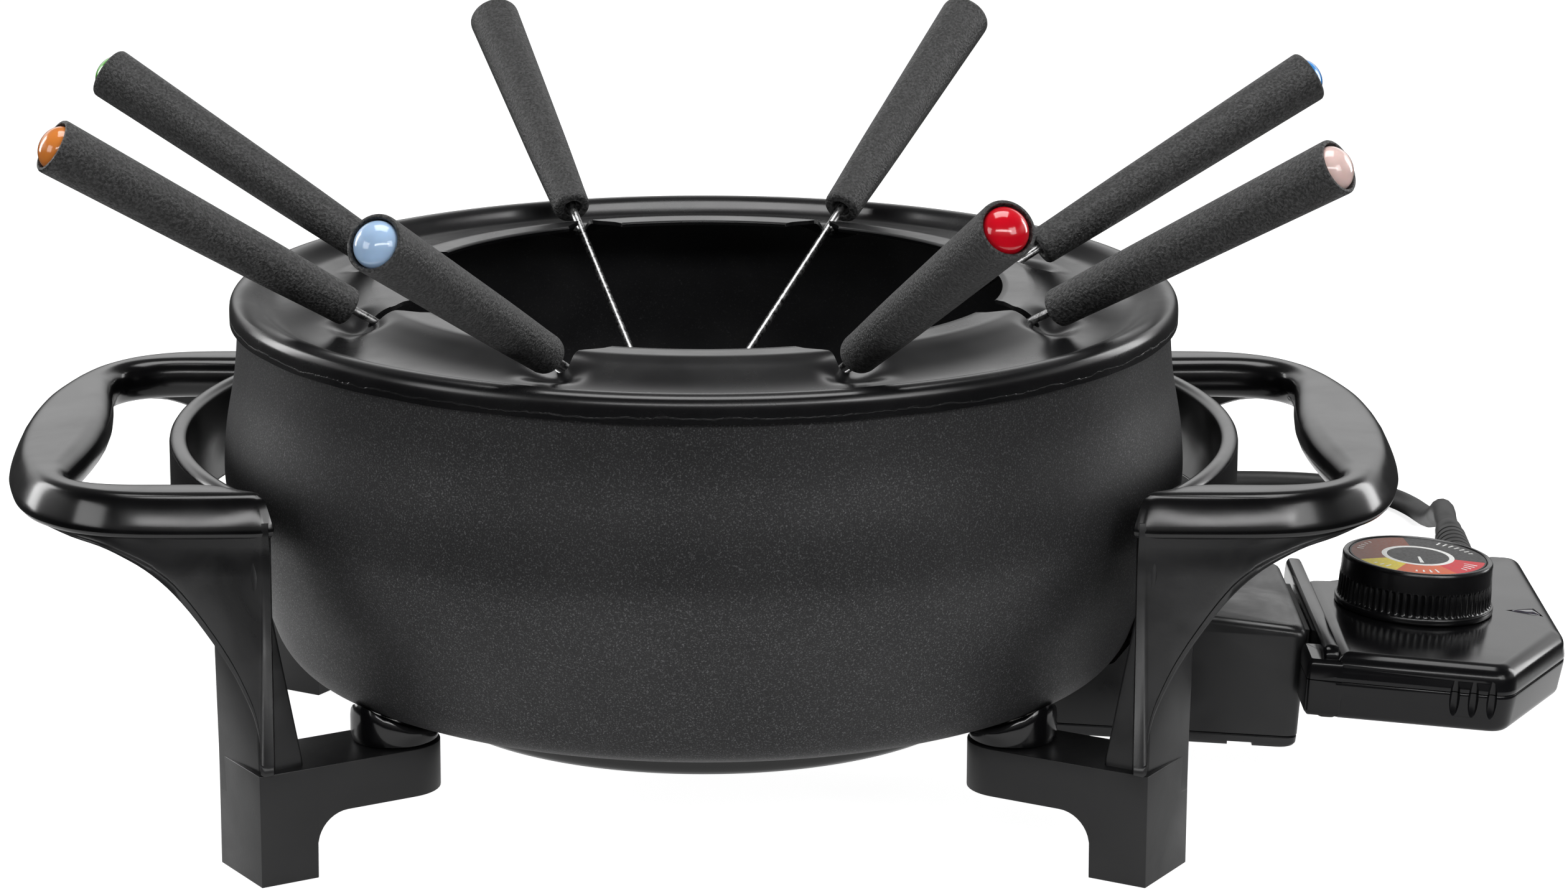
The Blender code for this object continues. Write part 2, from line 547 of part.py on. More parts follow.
for piece in (collar, wing, leg, upper):
    boolean(left, piece, "UNION")
for piece in (wing, leg, upper):
    boolean(left, mirrored(piece.name + "_back", piece, 1, "base_frame", cutter=True), "UNION")

post = foot + ux * ARM_REACH
post_points = [(post.x, post.y), (post.x, -post.y)]
for n, (x, y) in enumerate(post_points):
    boolean(left, cylinder("counterbore_%d" % n, (x, y), 4.6, 10.0, 18.6, "base_frame", cutter=True,
                           steps=14))
    boolean(left, cylinder("screw_hole_%d" % n, (x, y), SCREW_HOLE_R, 14.0, 45.0, "base_frame",
                           cutter=True, steps=10))
mirrored("side_frame_right", left, 0, "base_frame", FRAME_BLACK)

# spacers between the arms and the pot, and the screws that clamp them
corners = [("front_left", 1, 1), ("back_left", 1, -1), ("front_right", -1, 1), ("back_right", -1, -1)]
for name, sx, sy in corners:
    x, y = sx * post.x, sy * post.y
    spacer = cylinder("spacer_" + name, (x, y), SPACER_R, ARM_Z[1] + 0.3, 44.0, "base_frame", GLOSS_BLACK,
                      steps=20)
    boolean(spacer, SPACER_ENVELOPE)
    boolean(spacer, cylinder("spacer_hole_" + name, (x, y), SCREW_HOLE_R, 20.0, 50.0, "base_frame",
                             cutter=True, steps=10))
    lathe("screw_" + name, [(0, 30.4), (SCREW_R, 30.4), (SCREW_R, 18.3), (4.0, 18.3), (4.0, 16.6),
                            (3.2, 15.9), (0, 15.9)], 10,
          frame("screw_%s_frame" % name, AXIS @ Matrix.Translation(Vector((x, y, 0)) * MM), "base_frame"),
          SCREW_STEEL)

# ---------------------------------------------------------------- plinth and heating element
pan = lathe("base_cover", [(0, PAN_Z[0] + PAN_WALL), (PAN_R - PAN_WALL - 1.5, PAN_Z[0] + PAN_WALL),
                           (PAN_R - PAN_WALL, PAN_Z[0] + 2.2), (PAN_R - PAN_WALL, PAN_Z[1]),
                           (PAN_R, PAN_Z[1]), (PAN_R, PAN_Z[0] + 2.0), (PAN_R - 1.6, PAN_Z[0]),
                           (0, PAN_Z[0])], 40, "base_frame", PAN_BLACK)
boolean(pan, loft("pan_notch", prism_loops([(60, -14), (80, -14), (80, 14), (60, 14)], 22.4, 40.0),
                  "base_frame", cutter=True))

arc = [(ELEMENT_R * math.cos(math.radians(d)), ELEMENT_R * math.sin(math.radians(d)), ELEMENT_Z)
       for d in range(30, 331, 12)]
leg_in = [(118.0, 9.0, 38.3), (113.0, 9.0, 37.8), (107.5, 9.0, 34.6), (102.0, 9.0, 29.8),
          (96.0, 9.0, 26.9), (89.0, 9.0, ELEMENT_Z), (76.0, 9.0, ELEMENT_Z), (67.0, 9.6, ELEMENT_Z),
          (60.5, 12.4, ELEMENT_Z), (55.3, 17.6, ELEMENT_Z)]
leg_out = [(x, -y, z) for x, y, z in reversed(leg_in)]
tube("heating_element", leg_in + arc + leg_out, ELEMENT_TUBE_R, "base_frame", ELEMENT_STEEL, 1)

# ---------------------------------------------------------------- socket


def socket_half(x, wall=0.0):
    t = (x - SOCKET_X[0]) / (SOCKET_X[1] - SOCKET_X[0])
    return SOCKET_HALF[0] + (SOCKET_HALF[1] - SOCKET_HALF[0]) * t - wall


def socket_loop(x0, lean, z, wall, half_off=0.0, x1=SOCKET_X[1]):
    """Plan outline at height z; the outer end leans outward with height, its corners cut."""
    end = x1 - lean - wall
    a, b = socket_half(x0, wall + half_off), socket_half(end, wall + half_off)
    cut = 3.0
    return [(x0, -a, z), (end - cut, -b + 0.6, z), (end, -b + cut, z), (end, b - cut, z),
            (end - cut, b - 0.6, z), (x0, a, z)]


housing = loft("socket_housing", [socket_loop(85.0, 2.0, 18.5, 0.0), socket_loop(85.0, 0.2, 43.5, 0.0),
                                  [(x, y, 47.6 - (x - 122.0) * 0.072) for x, y, z in
                                   socket_loop(85.0, 0.0, 0.0, 0.0, 2.2, 145.6)]],
               "base_frame", SOCKET_BLACK)
cavity = loft("socket_cavity", [socket_loop(80.0, 2.0, 15.0, SOCKET_WALL),
                                socket_loop(80.0, 0.2, 42.0, SOCKET_WALL),
                                [(x, y, 44.8 - (x - 122.0) * 0.072) for x, y, z in
                                 socket_loop(80.0, 0.0, 0.0, SOCKET_WALL, 1.6, 145.6)]],
              "base_frame", cutter=True)
boolean(housing, cavity)
boolean(housing, SOCKET_ENVELOPE)
mouth = loft("socket_mouth", [[(u, v, w) for v, w in ((-21.5, -8.2), (21.5, -8.2), (21.5, 6.8),
                                                      (-21.5, 6.8))] for u in (-9.0, 6.0)],
             "thermostat_frame", cutter=True)
boolean(housing, mouth)

cover = loft("socket_cover", [socket_loop(85.6, 2.4, 15.5, 0.0, 0.3), socket_loop(85.2, 2.1, 16.3, 0.0),
                              socket_loop(85.2, 2.0, 18.2, 0.0)], "base_frame", COVER_BLACK)
for n, v in ((1, -9.0), (2, 9.0)):
    loft("terminal_pin_%d" % n, [[(u, v + r * math.cos(a), r * math.sin(a)) for a in
                                  (k * math.tau / 10 for k in range(10))]
                                 for u, r in ((-28.5, 2.0), (-7.0, 2.0), (-6.0, 1.3))],
         "thermostat_frame", PIN_STEEL)

# ---------------------------------------------------------------- thermostat
TF = "thermostat_frame"


def shell_loops(face, other, sign):
    """Tray outline from the parting face to the rounded outer face."""
    loops = [[(u, v, other) for u, v in BODY_OUTLINE]]
    for step, drop in ((0.0, 3.4), (0.5, 1.5), (1.5, 0.45), (3.4, 0.0)):
        loops.append([(u, v, face - sign * drop) for u, v in inset(BODY_OUTLINE, step)])
    return loops


upper_shell = loft("thermostat_upper_shell", shell_loops(BODY_TOP, BODY_PART + 0.15, 1), TF, SHELL_BLACK)
lower_shell = loft("thermostat_lower_shell", shell_loops(BODY_BOTTOM, BODY_PART - 0.15, -1), TF,
                   LOWER_BLACK)
guard_loops = []
for u, grow in ((1.2, -0.8), (2.0, 0.0), (4.4, 0.0), (5.2, -0.8)):
    guard_loops.append((u, grow))


def guard(name, w0, w1):
    return loft(name, [[(u, v, w) for v, w in ((-46.4 - g, w0), (36 + g, w0), (36 + g, w1), (-46.4 - g, w1))]
                       for u, g in guard_loops], TF, cutter=True)


def neck(name, w0, w1):
    """Corner of the body that reaches past the front side of the socket."""
    return loft(name, prism_loops([(-2.6, -47.4), (6.0, -48.2), (6.0, -33.2), (-2.6, -33.2)], w0, w1), TF,
                cutter=True)


boolean(upper_shell, neck("neck_upper", BODY_PART + 0.15, 6.6), "UNION")
boolean(lower_shell, neck("neck_lower", -7.4, BODY_PART - 0.15), "UNION")
boolean(upper_shell, guard("guard_upper", BODY_PART + 0.15, 9.4), "UNION")
boolean(lower_shell, guard("guard_lower", -8.0, BODY_PART - 0.15), "UNION")
inner_outline = [(max(u, 7.4), v) for u, v in inset(BODY_OUTLINE, SHELL_WALL)]
roof = loft("shell_cavity_upper", [[(u, v, w) for u, v in inner_outline]
                                   for w in (BODY_PART - 1.0, BODY_TOP - SHELL_WALL)], TF, cutter=True)
floor_cut = loft("shell_cavity_lower", [[(u, v, w) for u, v in inner_outline]
                                        for w in (BODY_BOTTOM + SHELL_WALL, BODY_PART + 1.0)], TF,
                 cutter=True)
boolean(upper_shell, roof)
boolean(lower_shell, floor_cut)
boolean(upper_shell, cylinder("shaft_hole", (KNOB_U, 0.0), 3.5, 4.0, 12.0, TF, cutter=True, steps=16))
lens_outline = [(53.0, 0.4), (60.6, -2.8), (59.4, 3.0)]
boolean(upper_shell, loft("lens_hole", prism_loops(inset(lens_outline, -0.35), 4.0, 12.0), TF,
                          cutter=True))
loft("indicator_lens", [[(u, v, w) for u, v in inset(lens_outline, d)]
                        for w, d in ((5.6, 0.0), (8.2, 0.0), (8.6, 0.5))], TF, LENS_RED)

relief_start, relief_end = Vector(RELIEF_START), Vector(RELIEF_END)
relief_dir = (relief_end - relief_start).normalized()


def cone_loops(stations, start, direction, steps=14):
    """Round loops of given radius at distances along a direction."""
    q = direction.to_track_quat("Z", "Y")
    loops = []
    for s, r in stations:
        loops.append([tuple(start + direction * s + q @ Vector((r * math.cos(k * math.tau / steps),
                                                                r * math.sin(k * math.tau / steps), 0)))
                      for k in range(steps)])
    return loops


relief_length = (relief_end - relief_start).length
relief_hole = loft("relief_hole", cone_loops([(-3.0, 5.9), (20.0, 5.9)], relief_start, relief_dir, 16),
                   "cord_frame", cutter=True)
boolean(upper_shell, relief_hole)
boolean(lower_shell, relief_hole)
relief = loft("strain_relief", cone_loops([(0.0, 5.0), (0.8, 5.5), (14.0, 5.5), (30.0, 4.9), (46.0, 4.2),
                                           (relief_length - 0.6, 3.7), (relief_length, 3.4)],
                                          relief_start, relief_dir), "cord_frame", RELIEF_BLACK)

block = loft("contact_block", [[(u, v, w) for v, w in ((-20.5 - g, -7.5 - g), (20.5 + g, -7.5 - g),
                                                       (20.5 + g, 6.2 + g), (-20.5 - g, 6.2 + g))]
                               for u, g in ((-22.0, -0.8), (-21.0, 0.0), (0.9, 0.0))], TF, BLOCK_BLACK)
for n, v in ((1, -9.0), (2, 9.0)):
    centre = Vector((0, v, 0))
    out = Vector((-1, 0, 0))
    boolean(block, loft("contact_bore_%d" % n, cone_loops([(3.2, 3.6), (24.0, 3.6)], centre, out, 12), TF,
                        cutter=True))
    sleeve = loft("contact_sleeve_%d" % n, cone_loops([(3.6, 3.3), (21.6, 3.3)], centre, out, 12), TF,
                  SLEEVE_BRASS)
    boolean(sleeve, loft("contact_hole_%d" % n, cone_loops([(3.0, 2.4), (23.0, 2.4)], centre, out, 12), TF,
                         cutter=True))
loft("probe", cone_loops([(0.0, 3.0), (11.5, 3.0), (13.2, 2.3), (13.8, 1.2)], Vector((-22.3, 0, 0)),
                         Vector((-1, 0, 0))), TF, PROBE_STEEL)
loft("thermostat_switch", prism_loops([(17, -11.5), (41, -11.5), (41, 11.5), (17, 11.5)], -5.6, 4.0), TF,
     SWITCH_GREY)

# ---------------------------------------------------------------- knob
lathe("knob", KNOB_PROFILE, 28, "knob_frame", KNOB_BLACK)
cylinder("dial_disc", (0, 0), 16.9, 20.5, 21.1, "knob_frame", DISC_PRINT, steps=32)
cylinder("knob_shaft", (0, 0), 3.0, 4.3, 18.3, "knob_frame", PIN_STEEL, steps=16)

# ---------------------------------------------------------------- cord and plug
tube("cord", CORD_ROUTE, CORD_R, "cord_frame", CORD_BLACK, 2)
ring_outline = []
for r, z in ((COIL_R[0], COIL_Z[1] - 2), (COIL_R[0], COIL_Z[0] + 2), (COIL_R[0] + 2, COIL_Z[0]),
             (COIL_R[1] - 2, COIL_Z[0]), (COIL_R[1], COIL_Z[0] + 2), (COIL_R[1], COIL_Z[1] - 4),
             (COIL_R[1] - 4, COIL_Z[1]), (COIL_R[0] + 3, COIL_Z[1])):
    ring_outline.append((r, z))
frame("coil_frame", AXIS @ Matrix.Translation(Vector((*COIL_CENTRE, 0)) * MM), "cord_frame")
lathe("cord_coil", ring_outline[::-1], 24, "coil_frame", CORD_BLACK, closed=True)
tube("cord_tail", TAIL_ROUTE, CORD_R, "cord_frame", CORD_BLACK, 2)
frame("plug_frame", AXIS @ Matrix.Translation(Vector(PLUG_BACK) * MM) @ Matrix.Rotation(math.pi / 2, 4, "Y"),
      "cord_frame")
lathe("plug_body", PLUG_PROFILE, 20, "plug_frame", PLUG_BLACK)
front_z = PLUG_PROFILE[-1][1] - 0.3
for n, side_y in ((1, -PIN_HALF), (2, PIN_HALF)):
    loft("plug_pin_%d" % n, [[(x, y, z) for x, y in circle(0, side_y, r, 10)]
                             for z, r in ((front_z, PIN_R), (front_z - PIN_LENGTH + 1.2, PIN_R),
                                          (front_z - PIN_LENGTH, PIN_R - 0.9))],
         "plug_frame", PIN_STEEL)

# ---------------------------------------------------------------- shading
for obj in PARTS.objects:
    if obj.type == "MESH":
        obj.data.shade_smooth()
        if obj.data.polygons:
            obj.data.set_sharp_from_angle(angle=math.radians(35))
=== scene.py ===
# Looks of the electric fondue set: fine surfaces, materials, light and camera.
# Lengths are millimetres in the pot's frame (pot axis at x = y = 0, table at z = 0) unless said otherwise.
import json

import bmesh
import bpy
from math import acos, cos, exp, hypot, pi, radians, sin, sqrt, tan, tau
from mathutils import Matrix, Vector

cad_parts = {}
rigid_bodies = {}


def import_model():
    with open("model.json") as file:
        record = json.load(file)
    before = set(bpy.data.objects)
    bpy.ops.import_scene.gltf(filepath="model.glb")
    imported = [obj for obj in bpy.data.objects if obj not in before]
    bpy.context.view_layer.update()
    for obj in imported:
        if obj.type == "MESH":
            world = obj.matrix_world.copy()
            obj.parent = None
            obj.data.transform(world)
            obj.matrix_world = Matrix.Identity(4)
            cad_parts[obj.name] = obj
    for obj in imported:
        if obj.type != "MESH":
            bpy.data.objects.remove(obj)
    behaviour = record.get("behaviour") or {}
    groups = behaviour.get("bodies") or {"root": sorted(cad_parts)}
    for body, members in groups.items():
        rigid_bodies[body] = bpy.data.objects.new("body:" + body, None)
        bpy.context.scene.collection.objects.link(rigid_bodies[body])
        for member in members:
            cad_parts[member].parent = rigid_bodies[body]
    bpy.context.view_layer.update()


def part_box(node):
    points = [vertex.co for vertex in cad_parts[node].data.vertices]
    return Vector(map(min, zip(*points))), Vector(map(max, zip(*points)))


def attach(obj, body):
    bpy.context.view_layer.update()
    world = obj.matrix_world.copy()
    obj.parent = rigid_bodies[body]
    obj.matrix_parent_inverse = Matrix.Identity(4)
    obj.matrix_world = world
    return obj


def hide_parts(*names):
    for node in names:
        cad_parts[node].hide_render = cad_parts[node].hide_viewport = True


for old in list(bpy.data.objects):
    bpy.data.objects.remove(old, do_unlink=True)

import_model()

MM = 0.001
pot_low, pot_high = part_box("pot")
AXIS = Matrix.Translation((0.5 * (pot_low.x + pot_high.x), 0.5 * (pot_low.y + pot_high.y), 0.0))
scene = bpy.context.scene

# ---------- camera
PITCH = 0.24834                      # radians below the horizon
CAMERA_BACK, CAMERA_UP = 1.160, 0.37808      # metres from the pot's axis and above the table
camera_data = bpy.data.cameras.new("camera")
camera_data.sensor_fit = "HORIZONTAL"
for setting, value in (("lens", 111.36), ("sensor_width", 36.0), ("shift_x", 0.0512), ("clip_start", 0.05),
                       ("clip_end", 60.0)):
    setattr(camera_data, setting, value)
camera = bpy.data.objects.new("camera", camera_data)
scene.collection.objects.link(camera)
camera.matrix_world = AXIS @ Matrix.Translation((0.0, -CAMERA_BACK, CAMERA_UP)) \
    @ Matrix.Rotation(pi / 2 - PITCH, 4, "X")
scene.camera = camera


# ---------- small tools
def world(point):
    return AXIS @ (Vector(point) * MM)


def shade(mesh, angle):
    mesh.shade_smooth()
    mesh.set_sharp_from_angle(angle=radians(angle))


def link(name, mesh, mats, matrix=None, smooth=35.0):
    """New piece from a mesh in millimetres; matrix places it in the pot's frame."""
    place = AXIS @ (matrix if matrix is not None else Matrix.Identity(4)) @ Matrix.Scale(MM, 4)
    mesh.transform(place)
    obj = bpy.data.objects.new(name, mesh)
    scene.collection.objects.link(obj)
    for mat in mats if isinstance(mats, (list, tuple)) else [mats]:
        obj.data.materials.append(mat)
    shade(mesh, smooth)
    return obj


def stand_for(obj, body, slot, *nodes):
    """The piece rides on a body and stands for CAD nodes, which it hides; slot is not used."""
    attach(obj, body)
    if nodes:
        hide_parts(*nodes)
    return obj


def mesh_of(bm):
    """Mesh from a bmesh: welded, faces out."""
    bmesh.ops.remove_doubles(bm, verts=bm.verts, dist=1e-5)
    bmesh.ops.recalc_face_normals(bm, faces=bm.faces)
    if bm.calc_volume(signed=True) < 0:
        bmesh.ops.reverse_faces(bm, faces=bm.faces)
    mesh = bpy.data.meshes.new("mesh")
    bm.to_mesh(mesh)
    bm.free()
    return mesh


def add_loft(bm, loops):
    """Closed solid through equal loops of points, added to a bmesh."""
    rows = [[bm.verts.new(p) for p in loop] for loop in loops]
    count = len(rows[0])
    for a, b in zip(rows, rows[1:]):
        for i in range(count):
            j = (i + 1) % count
            bm.faces.new((a[i], a[j], b[j], b[i]))
    bm.faces.new(rows[0][::-1])
    bm.faces.new(rows[-1])


def loft_mesh(loops):
    bm = bmesh.new()
    add_loft(bm, loops)
    return mesh_of(bm)


def prism(outline, *heights):
    """Upright solid over a plan outline."""
    return loft_mesh([[(x, y, z) for x, y in outline] for z in heights])


def catmull(points, per):
    """Smooth line through the points, with per steps between each two."""
    pts = [Vector(p) for p in points]
    pts = [pts[0] * 2 - pts[1]] + pts + [pts[-1] * 2 - pts[-2]]
    out = []
    for i in range(1, len(pts) - 2):
        a, b, c, d = pts[i - 1:i + 3]
        for k in range(per):
            t = k / per
            out.append(0.5 * (2 * b + (c - a) * t + (2 * a - 5 * b + 4 * c - d) * t * t
                              + (3 * b - a - 3 * c + d) * t ** 3))
    out.append(pts[-2])
    return out


def lathe_mesh(profile, steps, shape=None, mats=None):
    """Turned solid from (radius, height) points; a closed profile when its ends meet off the axis.
    shape(r, angle, z) may move a point; mats gives a material index to each profile span."""
    bm = bmesh.new()
    rows = []
    for r, z in profile:
        if r <= 1e-6:
            rows.append([bm.verts.new((0, 0, z))] * steps)
            continue
        row = []
        for k in range(steps):
            a = tau * k / steps
            rr, zz = shape(r, a, z) if shape else (r, z)
            row.append(bm.verts.new((rr * cos(a), rr * sin(a), zz)))
        rows.append(row)
    for n, (a, b) in enumerate(zip(rows, rows[1:])):
        for i in range(steps):
            j = (i + 1) % steps
            corners = []
            for v in (a[i], a[j], b[j], b[i]):
                if v not in corners:
                    corners.append(v)
            if len(corners) > 2:
                face = bm.faces.new(corners)
                if mats:
                    face.material_index = mats[n]
    return mesh_of(bm)


def circle(cx, cy, r, steps):
    return [(cx + r * cos(tau * k / steps), cy + r * sin(tau * k / steps))
            for k in range(steps)]


def inset(outline, d):
    """Counter-clockwise outline moved inward by d."""
    out = []
    count = len(outline)
    for i in range(count):
        p0, p1, p2 = (Vector(outline[(i + k) % count]) for k in (-1, 0, 1))
        d1, d2 = (p1 - p0).normalized(), (p2 - p1).normalized()
        n1, n2 = Vector((-d1.y, d1.x)), Vector((-d2.y, d2.x))
        mid = (n1 + n2).normalized()
        out.append(tuple(p1 + mid * (d / max(0.3, mid.dot(n1)))))
    return out


def round_corners(outline, radii, steps=6):
    """Outline with each corner replaced by an arc of steps + 1 points."""
    out = []
    count = len(outline)
    for i in range(count):
        p0, p1, p2 = (Vector(outline[(i + k) % count]) for k in (-1, 0, 1))
        a, b = (p0 - p1), (p2 - p1)
        la, lb = a.length, b.length
        a.normalize()
        b.normalize()
        half = acos(max(-1.0, min(1.0, a.dot(b)))) / 2
        reach = min(radii[i] / tan(half), 0.45 * la, 0.45 * lb)
        start, end = p1 + a * reach, p1 + b * reach
        for k in range(steps + 1):
            t = k / steps
            out.append(tuple(start.lerp(p1, t).lerp(p1.lerp(end, t), t)))
    return out


def boolean(obj, mesh, matrix=None, operation="DIFFERENCE"):
    """Boolean in place with a mesh in millimetres, which matrix places as link() does."""
    other = link("tool", mesh, obj.data.materials[0], matrix)
    mod = obj.modifiers.new("cut", "BOOLEAN")
    mod.operation = operation
    mod.solver = "MANIFOLD"
    mod.object = other
    apply_modifiers(obj)
    bpy.data.objects.remove(other, do_unlink=True)


def apply_modifiers(obj):
    bpy.context.view_layer.update()
    depsgraph = bpy.context.evaluated_depsgraph_get()
    fresh = bpy.data.meshes.new_from_object(obj.evaluated_get(depsgraph))
    obj.modifiers.clear()
    obj.data = fresh


def bevel(obj, width):
    """Round the edges sharper than 40 degrees."""
    mod = obj.modifiers.new("bevel", "BEVEL")
    mod.width = width * MM
    mod.segments = 3
    mod.limit_method = "ANGLE"
    mod.angle_limit = radians(40.0)
    mod.use_clamp_overlap = True
    mod.harden_normals = False
    apply_modifiers(obj)
    shade(obj.data, 35)


# ---------- materials
class Shade:
    """Small builder of a procedural Principled material."""

    def __init__(self, name, colour, rough, metal=0.0, coat=0.0, spec=0.5):
        self.mat = bpy.data.materials.new(name)
        self.mat.use_nodes = True
        self.tree = self.mat.node_tree
        self.bsdf = self.tree.nodes["Principled BSDF"]
        for socket, value in (("Base Color", (*colour, 1.0)), ("Roughness", rough), ("Metallic", metal),
                              ("Coat Weight", coat), ("Coat Roughness", 0.05), ("Specular IOR Level", spec),
                              ("IOR", 1.5)):
            self.set(socket, value)
        self.coords = self.new("ShaderNodeTexCoord")
        self.height = None

    def set(self, socket, value):
        self.bsdf.inputs[socket].default_value = value

    def new(self, kind, sockets=None, **values):
        """New node with settings and constant inputs."""
        node = self.tree.nodes.new(kind)
        for key, value in values.items():
            setattr(node, key, value)
        for socket, value in (sockets or {}).items():
            node.inputs[socket].default_value = value
        return node

    def wire(self, a, b):
        self.tree.links.new(a, b)

    def noise(self, scale, detail=2.0, rough=0.5, stretch=None, distortion=0.0):
        """Noise over the object's own metres; stretch scales the three axes."""
        mapping = self.new("ShaderNodeMapping", {"Scale": stretch or (1, 1, 1)})
        self.wire(self.coords.outputs["Object"], mapping.inputs["Vector"])
        node = self.new("ShaderNodeTexNoise", {"Scale": scale, "Detail": detail, "Roughness": rough,
                                               "Distortion": distortion})
        self.wire(mapping.outputs["Vector"], node.inputs["Vector"])
        return node.outputs["Fac"]

    def ramp(self, value, low, high, a, b):
        node = self.new("ShaderNodeMapRange", {"From Min": low, "From Max": high, "To Min": a, "To Max": b})
        self.wire(value, node.inputs["Value"])
        return node.outputs["Result"]

    def tint(self, value, low, high, dark, light):
        node = self.new("ShaderNodeValToRGB")
        for stop, place, colour in zip(node.color_ramp.elements, (low, high), (dark, light)):
            stop.position, stop.color = place, (*colour, 1)
        self.wire(value, node.inputs["Fac"])
        return node.outputs["Color"]

    def mix(self, fac, a, b):
        node = self.new("ShaderNodeMix", data_type="RGBA")
        self.wire(fac, node.inputs["Factor"])
        for colour, index in ((a, 6), (b, 7)):
            if isinstance(colour, tuple):
                node.inputs[index].default_value = (*colour, 1)
            else:
                self.wire(colour, node.inputs[index])
        return node.outputs[2]

    def base(self, colour_output):
        self.wire(colour_output, self.bsdf.inputs["Base Color"])

    def vary(self, value, low, high, colour, darker, lighter):
        """Base colour that wanders between a darker and a lighter shade of one colour."""
        dark, light = (tuple(min(1, c * k) for c in colour) for k in (darker, lighter))
        self.base(self.tint(value, low, high, dark, light))

    def roughness(self, output):
        self.wire(output, self.bsdf.inputs["Roughness"])

    def bump(self, value, strength, distance_mm):
        node = self.new("ShaderNodeBump", {"Strength": strength, "Distance": distance_mm * MM})
        self.wire(value, node.inputs["Height"])
        if self.height is not None:
            self.wire(self.height, node.inputs["Normal"])
        self.height = node.outputs["Normal"]
        self.wire(self.height, self.bsdf.inputs["Normal"])


def moulding(name, colour, rough, grain=0.0, grain_scale=2500.0, cloud=0.12, coat=0.0, spec=0.5):
    """Moulded plastic: faint flow clouds in roughness and colour, optional fine grain."""
    s = Shade(name, colour, rough, coat=coat, spec=spec)
    clouds = s.noise(45.0, 4.0, 0.6, distortion=0.6)
    s.roughness(s.ramp(clouds, 0.3, 0.7, rough * (1 - cloud), rough * (1 + cloud)))
    s.vary(clouds, 0.35, 0.65, colour, 0.85, 1.2)
    if grain:
        s.bump(s.noise(grain_scale, 3.0, 0.6), grain, 0.12)
    else:
        s.bump(s.noise(180.0, 2.0), 0.06, 0.1)
    return s.mat


def metal(name, colour, rough, strength=0.1):
    """Drawn or plated metal: fine streaks along z."""
    s = Shade(name, colour, rough, metal=1.0)
    streak = s.noise(900.0, 3.0, 0.6, (1, 1, 12))
    s.roughness(s.ramp(streak, 0.3, 0.7, rough * 0.75, rough * 1.35))
    s.vary(streak, 0.3, 0.7, colour, 0.86, 1.0)
    s.bump(streak, strength, 0.03)
    return s.mat


def pot_outside():
    """Non-stick coat: charcoal with fine bright flakes."""
    s = Shade("pot_coat_outside", (0.02, 0.02, 0.021), 0.42)
    fine = s.noise(2500.0, 3.0, 0.75)
    flakes = s.ramp(fine, 0.53, 0.74, 0.0, 1.0)
    clouds = s.noise(24.0, 4.0, 0.6)
    dull = s.tint(clouds, 0.3, 0.7, (0.019, 0.019, 0.020), (0.030, 0.030, 0.031))
    s.base(s.mix(flakes, dull, (0.17, 0.17, 0.175)))
    s.roughness(s.ramp(fine, 0.5, 0.75, 0.50, 0.34))
    s.set("Metallic", 0.55)
    s.bump(s.noise(900.0, 4.0, 0.75), 0.30, 0.12)
    return s.mat


def pot_inside():
    """Smoother, darker coat of the cooking surface."""
    s = Shade("pot_coat_inside", (0.012, 0.012, 0.013), 0.34)
    fine = s.noise(2200.0, 2.0, 0.6)
    s.base(s.tint(fine, 0.6, 0.8, (0.010, 0.010, 0.011), (0.05, 0.05, 0.052)))
    s.roughness(s.ramp(s.noise(60.0, 3.0), 0.3, 0.7, 0.28, 0.42))
    s.bump(s.noise(900.0, 3.0, 0.6), 0.1, 0.06)
    return s.mat


def ring_coat():
    """Glossy black coat with a faint speckle."""
    s = Shade("ring_coat", (0.005, 0.005, 0.0055), 0.25, spec=0.55)
    clouds = s.noise(55.0, 4.0, 0.6)
    s.roughness(s.ramp(clouds, 0.3, 0.7, 0.21, 0.29))
    s.base(s.tint(s.noise(2400.0, 2.0), 0.62, 0.8, (0.0045, 0.0045, 0.005), (0.016, 0.016, 0.017)))
    s.bump(s.noise(1100.0, 2.0, 0.6), 0.05, 0.05)
    # thin uneven line round the skirt, left by the coating's edge
    split = s.new("ShaderNodeSeparateXYZ")
    s.wire(s.coords.outputs["Object"], split.inputs["Vector"])
    wander = s.ramp(s.noise(95.0, 4.0, 0.75), 0.3, 0.7, 0.11875, 0.11985)        # metres above the table
    apart = s.new("ShaderNodeMath", operation="SUBTRACT")
    s.wire(split.outputs["Z"], apart.inputs[0])
    s.wire(wander, apart.inputs[1])
    away = s.new("ShaderNodeMath", operation="ABSOLUTE")
    s.wire(apart.outputs["Value"], away.inputs[0])
    line = s.ramp(away.outputs["Value"], 0.00006, 0.00017, 1.0, 0.0)
    s.bump(line, 0.7, 0.25)
    return s.mat


def fork_handle():
    """Leather-like grain of the handles."""
    s = Shade("fork_handle_grain", (0.012, 0.012, 0.012), 0.45, spec=0.6)
    grain = s.noise(1500.0, 3.0, 0.6)
    s.roughness(s.ramp(grain, 0.35, 0.65, 0.52, 0.38))
    s.base(s.tint(grain, 0.42, 0.64, (0.003, 0.003, 0.003), (0.050, 0.050, 0.050)))
    s.bump(grain, 1.0, 0.5)
    return s.mat


def steel_wire():
    """Drawn steel with dark spots."""
    s = Shade("fork_steel_drawn", (0.42, 0.42, 0.42), 0.3, metal=1.0)
    spots = s.noise(900.0, 4.0, 0.7)
    s.roughness(s.ramp(spots, 0.3, 0.7, 0.2, 0.45))
    s.base(s.tint(spots, 0.35, 0.6, (0.20, 0.20, 0.20), (0.5, 0.5, 0.5)))
    s.bump(spots, 0.12, 0.03)
    return s.mat


